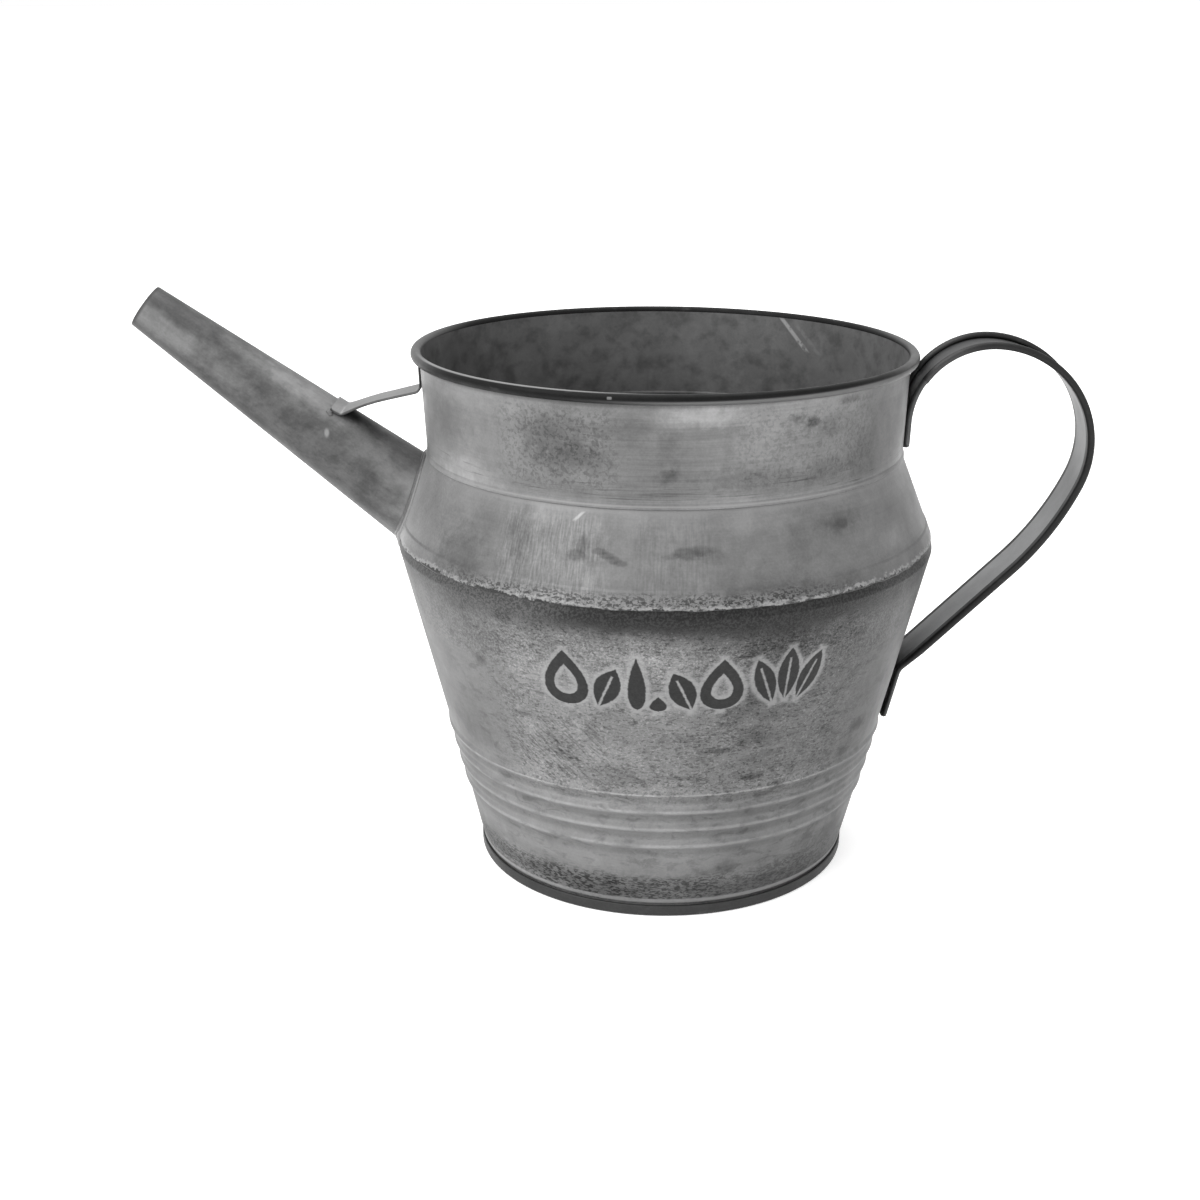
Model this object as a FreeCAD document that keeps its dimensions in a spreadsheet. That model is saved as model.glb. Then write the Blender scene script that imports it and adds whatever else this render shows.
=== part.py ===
import FreeCAD, Part
import math
import os
import Sketcher

# A tinsmith's watering can, in millimetres.  It stands on z = 0 and its turning axis is Z.
# The spout points along -X and the handle along +X.  Every piece is cut from thin zinced sheet
# and soldered, so each one is a thin wall of its own.

SIZES = {
    # sheet and wire
    "sheet_gauge": 0.6,
    "wire_roll_r": 1.8,            # outside of the roll around the rim wire
    "rim_wire_r": 1.2,
    # foot: the hoop that clamps the lower shell to the base disc
    "hoop_outer_r": 69.0,
    "hoop_top_z": 4.0,
    "hoop_floor": 0.8,
    "hoop_wall": 0.8,
    "hoop_round": 0.7,
    "base_disc_z": 3.4,
    # lower shell: a cone that widens upward, with swaged ribs
    "skirt_top_z": 4.4,
    "cone_start_z": 5.4,
    "cone_root_r": 67.4,           # the cone's outer radius carried down to z = 0
    "cone_slope": 0.2447,          # radius gained per millimetre of height
    "rib_first_z": 29.75,
    "rib_pitch": 7.15,
    "rib_half_width": 2.3,
    "rib_round_r": 4.2,
    "belly_z": 118.4,
    # belly seam and shoulder: a cone that narrows upward
    "turn_in_z": 120.8,
    "flange_top_z": 126.6,
    "hem_low_z": 121.2,
    "hem_round_z": 122.3,
    "hem_top_z": 127.0,
    "hem_proud": 0.4,
    "crease_z": 151.2,
    "crease_r": 84.35,
    "shoulder_slope": 0.389,
    "shoulder_lip_z": 158.0,
    "shoulder_lip_r": 83.8,
    # neck collar and rim
    "neck_low_z": 151.4,
    "neck_lip_r": 85.1,
    "neck_start_z": 153.0,
    "neck_start_r": 84.5,
    "neck_slope": 0.042,
    "rim_z": 187.2,
    "rim_r": 86.2,
    # spout: a straight tapered tube whose axis runs down from the tip to the body
    "tip_x": -183.2,
    "tip_z": 201.3,
    "tip_r": 8.2,
    "spout_dip": 36.6,             # degrees below the horizontal, from tip to body
    "spout_taper": 0.0638,         # radius gained per millimetre of axis
    "spout_run": 135.0,            # length of the tube before it is trimmed to the body
    "seat_low_z": 80.0,
    "seat_belly_r": 96.55,
    "seat_turn_z": 121.2,
    "seat_crease_r": 84.42,
    "flange_width": 2.2,
    "flange_gauge": 0.7,
    "solder_width": 1.0,
    "solder_depth": 0.7,
    "spout_hole_r": 9.3,
    "spout_hole_z": 137.8,
    # brace: a strap from the neck down to the top of the spout
    "brace_gauge": 1.0,
    "brace_foot_x": -86.8,
    "brace_foot_top_z": 181.0,
    "brace_foot_low_z": 172.2,
    "brace_bend_x": -90.2,
    "brace_bend_z": 172.3,
    "brace_end_x": -112.6,
    "brace_end_z": 165.0,
    "brace_neck_half": 7.3,
    "brace_waist_half": 5.2,
    "brace_waist_x": -100.0,
    "brace_saddle_half": 8.5,
    "saddle_near": 71.5,           # distances from the tip along the spout
    "saddle_far": 79.5,
    "tack_r": 1.5,
    "tack_along": 73.0,
    # handle: a strap with a wired roll along each edge
    "handle_half_width": 11.5,
    "handle_web": 0.8,
    "handle_roll_r": 1.3,
    "handle_wire_r": 0.75,
    "handle_gap": 0.03,            # between the rolls at the upper foot and the neck
    "handle_foot_z": 153.5,
    "handle_foot_run": 9.2,
    "handle_rise_r": 28.3,
    "handle_rise_turn": 90.3,
    "handle_crown_r": 35.7,
    "handle_crown_turn": 111.5,
    "handle_back_r": 104.4,
    "handle_back_turn": 20.9,
    "handle_straight": 51.9,        # brings the lower foot to rest on the top rib
    "handle_heel_r": 5.0,
    "handle_heel_turn": 31.35,
    "handle_heel_run": 18.26,
}

RIB_COUNT = 4
QUARTER_TURN = 90.0
SPOUT_TILT = "90 + Sizes.spout_dip"          # turns a tube drawn along Z so that it runs from tip to body
FULL_TURN = 360.0


# ---------- sheet, sketches and small helpers ----------

def fill_sheet(doc):
    """Put every driving size in the spreadsheet under its own alias."""
    sheet = doc.addObject("Spreadsheet::Sheet", "Sizes")
    for row, (alias, value) in enumerate(SIZES.items(), start=1):
        sheet.set(f"A{row}", alias)
        sheet.set(f"B{row}", str(value))
        sheet.setAlias(f"B{row}", alias)
    doc.recompute()
    return sheet


def worth(thing, expression):
    """The number that an expression on the sheet comes to."""
    answer = thing.evalExpression(expression)
    return float(getattr(answer, "Value", answer))


def origin_plane(body, role):
    """One of a body's own origin planes."""
    for feature in body.Origin.OriginFeatures:
        if feature.Role == role:
            return feature
    raise RuntimeError(f"{body.Name} has no {role}")


def new_body(doc, name):
    body = doc.addObject("PartDesign::Body", name)
    body.Label = name
    return body


def new_sketch(body, name, role="XZ_Plane", raised=None):
    """A sketch on an origin plane, raised along the plane's normal by an expression if one is given."""
    sketch = body.newObject("Sketcher::SketchObject", name)
    sketch.AttachmentSupport = [(origin_plane(body, role), "")]
    sketch.MapMode = "FlatFace"
    if raised is not None:
        sketch.setExpression("AttachmentOffset.Base.z", raised)
    return sketch


def bind(sketch, kind, *fixings, to):
    """Add a dimension to a sketch and bind it to an expression."""
    value = worth(sketch, to)
    if kind == "Angle":
        value = math.radians(value)
    index = sketch.addConstraint(Sketcher.Constraint(kind, *fixings, value))
    sketch.setExpression(f"Constraints[{index}]", f"({to}) * 1deg" if kind == "Angle" else to)


def bind_point(sketch, side, end, x, y):
    """Hold one end of a side at two expressions."""
    for kind, axis, place in (("DistanceX", -2, x), ("DistanceY", -1, y)):
        if place == "0":
            sketch.addConstraint(Sketcher.Constraint("PointOnObject", side, end, axis))
        else:
            bind(sketch, kind, -1, 1, side, end, to=place)


def bow_middle(start, finish, radius, bow):
    """The middle of an arc from start to finish.  bow is +1 to the right of travel, -1 to the left."""
    chord = finish - start
    half = chord.Length / 2
    rise = radius - math.sqrt(radius ** 2 - half ** 2)
    if abs(bow) > 1:
        rise = 2 * radius - rise
    right = FreeCAD.Vector(chord.y, -chord.x, 0).normalize()
    return start + chord * 0.5 + right * math.copysign(rise, bow)


def outline(sketch, corners):
    """Close a loop.  A corner is (x, y), or (x, y, radius, bow) if an arc leads on from it.

    A bow of 1 or -1 takes the short way round, and 2 or -2 the long way.
    """
    points = [FreeCAD.Vector(worth(sketch, c[0]), worth(sketch, c[1]), 0) for c in corners]
    ends = []
    for i, corner in enumerate(corners):
        start = points[i]
        finish = points[(i + 1) % len(points)]
        if len(corner) == 2:
            side = sketch.addGeometry(Part.LineSegment(start, finish))
            ends.append((side, 1, 2))
            continue
        middle = bow_middle(start, finish, worth(sketch, corner[2]), corner[3])
        side = sketch.addGeometry(Part.Arc(start, middle, finish))
        forward = sketch.getPoint(side, 1).distanceToPoint(start) < sketch.getPoint(side, 2).distanceToPoint(start)
        ends.append((side, 1, 2) if forward else (side, 2, 1))
    for i, corner in enumerate(corners):
        side, first, last = ends[i]
        follower, opening, _ = ends[(i + 1) % len(ends)]
        sketch.addConstraint(Sketcher.Constraint("Coincident", side, last, follower, opening))
        bind_point(sketch, side, first, corner[0], corner[1])
        if len(corner) == 4:
            bind(sketch, "Radius", side, to=corner[2])


def circle(sketch, x, y, radius):
    """A circle held at two expressions, with its radius bound to a third."""
    centre = FreeCAD.Vector(worth(sketch, x), worth(sketch, y), 0)
    side = sketch.addGeometry(Part.Circle(centre, FreeCAD.Vector(0, 0, 1), worth(sketch, radius)))
    bind_point(sketch, side, 3, x, y)
    bind(sketch, "Radius", side, to=radius)


def turned(body, sketch, name, kind="PartDesign::Revolution"):
    """Turn a sketch a full circle about its own upright axis."""
    feature = body.newObject(kind, name)
    feature.Profile = sketch
    feature.ReferenceAxis = (sketch, ["V_Axis"])
    feature.Angle = FULL_TURN
    sketch.Visibility = False
    return feature


def turned_body(doc, name, corners):
    """A body turned from one closed outline of (radius, height) corners."""
    body = new_body(doc, name)
    sketch = new_sketch(body, f"{name}_outline")
    outline(sketch, corners)
    turned(body, sketch, f"{name}_turned")
    return body


def wall(outer, gauge="Sizes.sheet_gauge"):
    """Corners of a thin turned wall, from the corners of its outer face listed from the bottom up."""
    inner = []
    for i in range(len(outer) - 1, -1, -1):
        corner = (f"{outer[i][0]} - {gauge}", outer[i][1])
        if i and len(outer[i - 1]) == 4:
            corner += (outer[i - 1][2], -outer[i - 1][3])
        inner.append(corner)
    return outer + inner


def along_spout(body):
    """Place a body that was drawn along Z so that its origin is the spout's tip and Z runs to the can."""
    body.Placement = FreeCAD.Placement(FreeCAD.Vector(), FreeCAD.Rotation(FreeCAD.Vector(0, 1, 0), QUARTER_TURN))
    body.setExpression("Placement.Base.x", "Sizes.tip_x")
    body.setExpression("Placement.Base.z", "Sizes.tip_z")
    body.setExpression("Placement.Rotation.Angle", SPOUT_TILT)


def combine(doc, kind, name, base, tool):
    """A Part boolean of two objects."""
    result = doc.addObject(f"Part::{kind}", name)
    result.Label = name
    result.Base = base
    result.Tool = tool
    return result


# ---------- radii that several pieces share ----------

def cone_r(height):
    """Outer radius of the lower shell at a height."""
    return f"Sizes.cone_root_r + Sizes.cone_slope * ({height})"


def shoulder_r(height):
    """Outer radius of the shoulder at a height."""
    return f"Sizes.crease_r + Sizes.shoulder_slope * (Sizes.crease_z - ({height}))"


def neck_r(height):
    """Outer radius of the neck collar at a height."""
    return f"Sizes.neck_start_r + Sizes.neck_slope * (({height}) - Sizes.neck_start_z)"


SKIRT_R = "Sizes.hoop_outer_r - Sizes.hoop_wall"


# ---------- the can's body ----------

def lower_shell(doc):
    """Ribbed cone, with a straight skirt in the hoop and a turned-in flange under the shoulder."""
    outer = [(SKIRT_R, "Sizes.hoop_floor"), (SKIRT_R, "Sizes.skirt_top_z"),
             (cone_r("Sizes.cone_start_z"), "Sizes.cone_start_z")]
    for rib in range(RIB_COUNT):
        middle = f"Sizes.rib_first_z + {rib} * Sizes.rib_pitch"
        low = f"{middle} - Sizes.rib_half_width"
        high = f"{middle} + Sizes.rib_half_width"
        outer.append((cone_r(low), low, "Sizes.rib_round_r", 1))
        outer.append((cone_r(high), high))
    outer.append((cone_r("Sizes.belly_z"), "Sizes.belly_z"))
    for height in ("Sizes.turn_in_z", "Sizes.flange_top_z"):
        outer.append((f"{shoulder_r(height)} - Sizes.sheet_gauge", height))
    return turned_body(doc, "lower_shell", wall(outer))


def shoulder_shell(doc):
    """Cone that narrows upward, doubled back in a hem at its foot, with the spout's hole cut in it."""
    inside = "Sizes.sheet_gauge"
    corners = [
        (f"{shoulder_r('Sizes.hem_low_z')} - {inside}", "Sizes.hem_low_z"),
        (shoulder_r("Sizes.hem_low_z"), "Sizes.hem_low_z"),
        (f"{shoulder_r('Sizes.hem_round_z')} + Sizes.hem_proud", "Sizes.hem_round_z"),
        (f"{shoulder_r('Sizes.hem_top_z')} + Sizes.hem_proud", "Sizes.hem_top_z"),
        (shoulder_r("Sizes.hem_top_z"), "Sizes.hem_top_z"),
        (shoulder_r("Sizes.crease_z"), "Sizes.crease_z"),
        ("Sizes.shoulder_lip_r", "Sizes.neck_start_z"),
        ("Sizes.shoulder_lip_r", "Sizes.shoulder_lip_z"),
        (f"Sizes.shoulder_lip_r - {inside}", "Sizes.shoulder_lip_z"),
        (f"Sizes.shoulder_lip_r - {inside}", "Sizes.neck_start_z"),
        (f"{shoulder_r('Sizes.crease_z')} - {inside}", "Sizes.crease_z"),
    ]
    blank = turned_body(doc, "shoulder_blank", corners)
    punch = doc.addObject("Part::Cylinder", "spout_hole_punch")
    punch.setExpression("Radius", "Sizes.spout_hole_r")
    punch.setExpression("Height", "2 * Sizes.spout_hole_r")
    punch.Placement = FreeCAD.Placement(FreeCAD.Vector(), FreeCAD.Rotation(FreeCAD.Vector(0, 1, 0), -QUARTER_TURN))
    punch.setExpression("Placement.Base.x", f"Sizes.spout_hole_r - ({shoulder_r('Sizes.spout_hole_z')})")
    punch.setExpression("Placement.Base.z", "Sizes.spout_hole_z - Sizes.spout_hole_r * Sizes.shoulder_slope")
    punch.setExpression("Placement.Rotation.Angle", "atan(Sizes.shoulder_slope) - 90deg")
    return combine(doc, "Cut", "shoulder_shell", blank, punch)


def neck_collar(doc):
    """Almost straight collar, flared at its foot and rolled outward round a wire at the rim."""
    body = new_body(doc, "neck_collar")
    sketch = new_sketch(body, "neck_collar_outline")
    outer = [("Sizes.neck_lip_r", "Sizes.neck_low_z"), ("Sizes.neck_start_r", "Sizes.neck_start_z"),
             (neck_r("Sizes.rim_z"), "Sizes.rim_z")]
    outline(sketch, wall(outer))
    turned(body, sketch, "neck_collar_turned")
    roll = new_sketch(body, "rim_roll_section")
    circle(roll, "Sizes.rim_r", "Sizes.rim_z", "Sizes.wire_roll_r")
    turned(body, roll, "rim_roll")
    bore = new_sketch(body, "rim_bore_section")
    circle(bore, "Sizes.rim_r", "Sizes.rim_z", "Sizes.rim_wire_r")
    turned(body, bore, "rim_bore", "PartDesign::Groove")
    return body


def rim_wire(doc):
    """The hoop of wire inside the rim's roll."""
    body = new_body(doc, "rim_wire")
    sketch = new_sketch(body, "rim_wire_section")
    circle(sketch, "Sizes.rim_r", "Sizes.rim_z", "Sizes.rim_wire_r")
    turned(body, sketch, "rim_wire_turned")
    return body


def base_disc(doc):
    """Flat bottom, raised off the ground, with a flange turned down inside the skirt."""
    edge = f"{SKIRT_R} - Sizes.sheet_gauge"
    corners = [
        ("0", "Sizes.base_disc_z"),
        (f"{edge} - Sizes.sheet_gauge", "Sizes.base_disc_z"),
        (f"{edge} - Sizes.sheet_gauge", "Sizes.hoop_floor"),
        (edge, "Sizes.hoop_floor"),
        (edge, "Sizes.base_disc_z + Sizes.sheet_gauge"),
        ("0", "Sizes.base_disc_z + Sizes.sheet_gauge"),
    ]
    return turned_body(doc, "base_disc", corners)


def base_hoop(doc):
    """Channel that clamps the skirt and the disc's flange together.  The can stands on it."""
    groove_in = f"{SKIRT_R} - 2 * Sizes.sheet_gauge"
    bore = f"{groove_in} - Sizes.hoop_wall"
    corners = [
        (bore, "0"),
        ("Sizes.hoop_outer_r - Sizes.hoop_round", "0", "Sizes.hoop_round", 1),
        ("Sizes.hoop_outer_r", "Sizes.hoop_round"),
        ("Sizes.hoop_outer_r", "Sizes.hoop_top_z - Sizes.hoop_round / 2"),
        ("Sizes.hoop_outer_r - Sizes.hoop_round / 2", "Sizes.hoop_top_z"),
        (SKIRT_R, "Sizes.hoop_top_z"),
        (SKIRT_R, "Sizes.hoop_floor"),
        (groove_in, "Sizes.hoop_floor"),
        (groove_in, "Sizes.base_disc_z"),
        (bore, "Sizes.base_disc_z"),
    ]
    return turned_body(doc, "base_hoop", corners)


# ---------- the spout ----------

def seat_form(doc, name, proud="0"):
    """Solid that follows the outside of the belly and shoulder, grown outward by proud."""
    corners = [
        ("0", "Sizes.seat_low_z"),
        (f"Sizes.seat_belly_r + {proud}", "Sizes.seat_low_z"),
        (f"Sizes.seat_belly_r + {proud}", "Sizes.seat_turn_z"),
        (f"Sizes.seat_crease_r + {proud}", "Sizes.crease_z"),
        ("0", "Sizes.crease_z"),
    ]
    return turned_body(doc, name, corners)


def spout_r(along, proud="0"):
    """Outer radius of the spout at a distance from its tip, grown by proud."""
    return f"Sizes.tip_r + Sizes.spout_taper * ({along}) + {proud}"


def spout_sleeve(doc, name, inner, outer, start="0", finish="Sizes.spout_run"):
    """Tapered tube between two distances outside the spout's surface, placed on the spout's axis."""
    corners = [(spout_r(start, outer), start), (spout_r(finish, outer), finish),
               (spout_r(finish, inner), finish), (spout_r(start, inner), start)]
    body = turned_body(doc, name, corners)
    along_spout(body)
    return body


def spout_solid(doc, name, proud="0"):
    """The spout as if it were solid, for trimming what rests on it."""
    corners = [("0", "0"), ("0", "Sizes.spout_run"), (spout_r("Sizes.spout_run", proud), "Sizes.spout_run"),
               (spout_r("0", proud), "0")]
    body = turned_body(doc, name, corners)
    along_spout(body)
    return body


def spout_tube(doc):
    """Tapered tube, cut square at the tip and trimmed to the body at its root."""
    blank = spout_sleeve(doc, "spout_blank", "-Sizes.sheet_gauge", "0")
    return combine(doc, "Cut", "spout_tube", blank, seat_form(doc, "spout_seat"))


def seat_band(doc, name, width, low, high):
    """Band round the spout's root, between two distances outside the body's surface."""
    sleeve = spout_sleeve(doc, f"{name}_sleeve", "0", width, start="Sizes.spout_run / 2")
    trimmed = combine(doc, "Cut", f"{name}_trimmed", sleeve, seat_form(doc, f"{name}_underside", low))
    return combine(doc, "Common", name, trimmed, seat_form(doc, f"{name}_topside", high))


def spout_flange(doc):
    return seat_band(doc, "spout_flange", "Sizes.flange_width", "0", "Sizes.flange_gauge")


def spout_solder(doc):
    depth = "Sizes.flange_gauge + Sizes.solder_depth"
    return seat_band(doc, "spout_solder", "Sizes.solder_width", "Sizes.flange_gauge", depth)


# ---------- the brace ----------

def neck_form(doc, name):
    """The neck as if it were solid, for trimming what rests on it."""
    corners = [("0", "Sizes.neck_start_z"), (neck_r("Sizes.neck_start_z"), "Sizes.neck_start_z"),
               (neck_r("Sizes.rim_z"), "Sizes.rim_z"), ("0", "Sizes.rim_z")]
    return turned_body(doc, name, corners)


def padded(doc, name, role, corners, length):
    """A block with a closed outline, centred on one of its origin planes."""
    body = new_body(doc, name)
    sketch = new_sketch(body, f"{name}_outline", role)
    outline(sketch, corners)
    pad = body.newObject("PartDesign::Pad", f"{name}_pad")
    pad.Profile = sketch
    pad.SideType = "Symmetric"
    pad.setExpression("Length", length)
    sketch.Visibility = False
    return body


def brace_side(doc):
    """Side view of the brace: a foot up the neck, a bend, and a strap down to the spout."""
    drop = "Sizes.brace_gauge"
    buried = "Sizes.brace_foot_x + 3 * Sizes.brace_gauge"
    corners = [
        (buried, "Sizes.brace_foot_top_z"),
        ("Sizes.brace_foot_x", "Sizes.brace_foot_top_z"),
        ("Sizes.brace_foot_x", "Sizes.brace_bend_z + 1.5 * Sizes.brace_gauge"),
        ("Sizes.brace_bend_x", f"Sizes.brace_bend_z + {drop} / 2"),
        ("Sizes.brace_end_x", f"Sizes.brace_end_z + {drop} / 2"),
        ("Sizes.brace_end_x", f"Sizes.brace_end_z - {drop} / 2"),
        ("Sizes.brace_bend_x", f"Sizes.brace_bend_z - {drop} / 2"),
        (buried, "Sizes.brace_foot_low_z"),
    ]
    return padded(doc, "brace_side", "XZ_Plane", corners, "2 * Sizes.brace_saddle_half")


def brace_plan(doc):
    """The brace seen from above: wide at both feet and waisted between them."""
    near = "Sizes.brace_foot_x + 5 * Sizes.brace_gauge"
    half = [(near, "Sizes.brace_neck_half"), ("Sizes.brace_foot_x", "Sizes.brace_neck_half"),
            ("Sizes.brace_waist_x", "Sizes.brace_waist_half"),
            ("Sizes.brace_end_x - Sizes.brace_gauge", "Sizes.brace_waist_half + Sizes.brace_gauge")]
    corners = half + [(x, f"-({y})") for x, y in reversed(half)]
    return padded(doc, "brace_plan", "XY_Plane", corners, "4 * Sizes.rim_z")


def saddle(doc):
    """The brace's lower foot, bent over the top of the spout."""
    sleeve = spout_sleeve(doc, "saddle_sleeve", "0", "Sizes.brace_gauge", "Sizes.saddle_near", "Sizes.saddle_far")
    window = doc.addObject("Part::Box", "saddle_window")
    window.setExpression("Length", "2 * Sizes.brace_saddle_half")
    window.setExpression("Width", "2 * Sizes.brace_saddle_half")
    window.setExpression("Height", "Sizes.spout_run")
    window.Placement = FreeCAD.Placement(FreeCAD.Vector(), FreeCAD.Rotation(FreeCAD.Vector(0, 1, 0), QUARTER_TURN))
    # The window's near edge lies half a saddle above the spout's axis, on the upper side.
    reach = "2.5 * Sizes.brace_saddle_half"
    window.setExpression("Placement.Base.x", f"Sizes.tip_x + {reach} * sin(Sizes.spout_dip * 1deg)")
    window.setExpression("Placement.Base.y", "-Sizes.brace_saddle_half")
    window.setExpression("Placement.Base.z", f"Sizes.tip_z + {reach} * cos(Sizes.spout_dip * 1deg)")
    window.setExpression("Placement.Rotation.Angle", SPOUT_TILT)
    return combine(doc, "Common", "saddle", sleeve, window)


def spout_brace(doc):
    """Strap that props the spout against the neck."""
    strap = combine(doc, "Common", "brace_strap", brace_side(doc), brace_plan(doc))
    whole = combine(doc, "Fuse", "brace_whole", strap, saddle(doc))
    off_neck = combine(doc, "Cut", "brace_off_neck", whole, neck_form(doc, "brace_neck_form"))
    return combine(doc, "Cut", "spout_brace", off_neck, spout_solid(doc, "brace_spout_form"))


def brace_tacks(doc):
    """A drop of solder at each end of the saddle, on the spout's surface."""
    radius_here = spout_r("Sizes.tack_along")
    height = f"sqrt(({radius_here}) ^ 2 - (Sizes.brace_saddle_half + Sizes.tack_r) ^ 2)"
    drops = []
    for name, side in (("front", "-1"), ("back", "1")):
        drop = doc.addObject("Part::Sphere", f"tack_{name}")
        drop.setExpression("Radius", "Sizes.tack_r")
        dip = "Sizes.spout_dip * 1deg"
        drop.setExpression("Placement.Base.x", f"Sizes.tip_x + Sizes.tack_along * cos({dip}) + {height} * sin({dip})")
        drop.setExpression("Placement.Base.y", f"{side} * (Sizes.brace_saddle_half + Sizes.tack_r)")
        drop.setExpression("Placement.Base.z", f"Sizes.tip_z - Sizes.tack_along * sin({dip}) + {height} * cos({dip})")
        drops.append(drop)
    pair = combine(doc, "Fuse", "tack_pair", drops[0], drops[1])
    return combine(doc, "Cut", "brace_tacks", pair, spout_solid(doc, "tack_spout_form"))


# ---------- the handle ----------

ROLL_Y = "Sizes.handle_half_width - Sizes.handle_roll_r"
NECK_AT_ROLL = f"sqrt(({neck_r('Sizes.handle_foot_z')}) ^ 2 - ({ROLL_Y}) ^ 2)"
HANDLE_START_X = f"{NECK_AT_ROLL} + Sizes.handle_gap + Sizes.handle_roll_r"
HANDLE_RUNS = [
    # a straight run has a length; a bend has a radius, an angle in degrees and a turning sense
    ("Sizes.handle_foot_run",),
    ("Sizes.handle_rise_r", "Sizes.handle_rise_turn", -1),
    ("Sizes.handle_crown_r", "Sizes.handle_crown_turn", -1),
    ("Sizes.handle_back_r", "Sizes.handle_back_turn", -1),
    ("Sizes.handle_straight",),
    ("Sizes.handle_heel_r", "Sizes.handle_heel_turn", 1),
    ("Sizes.handle_heel_run",),
]


def bend_geometry(place, heading, radius, angle, sense):
    """An arc that leaves place along heading.  Returns it with its end and the new heading."""
    across = FreeCAD.Vector(-math.sin(heading), math.cos(heading), 0) * sense
    centre = place + across * radius
    points = []
    for share in (0.5, 1.0):
        turn = FreeCAD.Rotation(FreeCAD.Vector(0, 0, 1), math.degrees(sense * angle * share))
        points.append(centre - turn.multVec(across * radius))
    return Part.Arc(place, points[0], points[1]), points[1], heading + sense * angle


def handle_path(body, name):
    """The handle's centre line: straight runs and bends, each tangent to the one before."""
    sketch = new_sketch(body, name)
    place = FreeCAD.Vector(worth(sketch, HANDLE_START_X), worth(sketch, "Sizes.handle_foot_z"), 0)
    heading = math.pi / 2 - math.atan(worth(sketch, "Sizes.neck_slope"))
    previous = None
    for run in HANDLE_RUNS:
        size = worth(sketch, run[0])
        first, last = 1, 2
        if len(run) == 1:
            finish = place + FreeCAD.Vector(math.cos(heading), math.sin(heading), 0) * size
            side = sketch.addGeometry(Part.LineSegment(place, finish))
        else:
            angle = math.radians(worth(sketch, run[1]))
            arc, finish, heading = bend_geometry(place, heading, size, angle, run[2])
            side = sketch.addGeometry(arc)
            if run[2] < 0:
                first, last = 2, 1
        if previous is None:
            bind_point(sketch, side, first, HANDLE_START_X, "Sizes.handle_foot_z")
            bind(sketch, "Angle", side, to="90 - atan(Sizes.neck_slope) / 1deg")
        else:
            sketch.addConstraint(Sketcher.Constraint("Tangent", *previous, side, first))
        if len(run) == 1:
            bind(sketch, "Distance", side, to=run[0])
        else:
            bind(sketch, "Radius", side, to=run[0])
            bind(sketch, "Angle", side, to=run[1])
        place = finish
        previous = (side, last)
    return sketch


def swept_body(doc, name, draw_section):
    """A body swept along the handle's centre line."""
    body = new_body(doc, name)
    path = handle_path(body, f"{name}_path")
    section = new_sketch(body, f"{name}_section", "XY_Plane", raised="Sizes.handle_foot_z")
    draw_section(section)
    doc.recompute()
    pipe = body.newObject("PartDesign::AdditivePipe", f"{name}_pipe")
    pipe.Profile = section
    pipe.Spine = (path, [])
    path.Visibility = False
    section.Visibility = False
    return body


def draw_strap(section):
    """Flat web on the side that faces the fingers, with a round roll behind each of its edges."""
    face = f"{HANDLE_START_X} + Sizes.handle_roll_r"
    back = f"{face} - Sizes.handle_web"
    rise = "(Sizes.handle_roll_r - Sizes.handle_web)"
    notch = f"{ROLL_Y} - sqrt(Sizes.handle_roll_r ^ 2 - {rise} ^ 2)"
    corners = [
        (face, f"-({ROLL_Y})"),
        (face, ROLL_Y, "Sizes.handle_roll_r", 2),
        (back, notch),
        (back, f"-({notch})", "Sizes.handle_roll_r", 2),
    ]
    outline(section, corners)
    for side in ("", "-"):
        circle(section, HANDLE_START_X, f"{side}({ROLL_Y})", "Sizes.handle_wire_r")


def handle_strap(doc):
    return swept_body(doc, "handle_strap", draw_strap)


def handle_wire(doc, name, side):
    """Wire inside one of the strap's edge rolls.  side is - for the front and empty for the back."""
    return swept_body(doc, name, lambda s: circle(s, HANDLE_START_X, f"{side}({ROLL_Y})", "Sizes.handle_wire_r"))


# ---------- the whole can ----------

def build_all(doc):
    fill_sheet(doc)
    pieces = [
        lower_shell(doc), shoulder_shell(doc), neck_collar(doc), rim_wire(doc), base_disc(doc), base_hoop(doc),
        spout_tube(doc), spout_flange(doc), spout_solder(doc), spout_brace(doc), brace_tacks(doc),
        handle_strap(doc), handle_wire(doc, "handle_wire_front", "-"), handle_wire(doc, "handle_wire_back", ""),
    ]
    doc.recompute()
    return pieces


def check_all(doc, pieces):
    """Stop if any object failed to build, or if a piece has no sound solid."""
    for thing in doc.Objects:
        if "Invalid" in thing.State or "Error" in thing.State:
            raise RuntimeError(f"{thing.Name} did not build: {thing.State}")
    for piece in pieces:
        shape = piece.Shape
        if shape.isNull() or not shape.isValid() or not shape.Solids:
            raise RuntimeError(f"{piece.Label} has no sound solid")


def main():
    doc = FreeCAD.newDocument("watering_can")
    pieces = build_all(doc)
    check_all(doc, pieces)
    os.makedirs("parts", exist_ok=True)
    for piece in pieces:
        piece.Shape.exportStep(f"parts/{piece.Label}.step")
        print(piece.Label, len(piece.Shape.Solids), round(piece.Shape.Volume, 1), piece.Shape.BoundBox)


main()
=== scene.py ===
import math
import bmesh
import bpy
import numpy as np
from mathutils import Matrix, Vector


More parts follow.
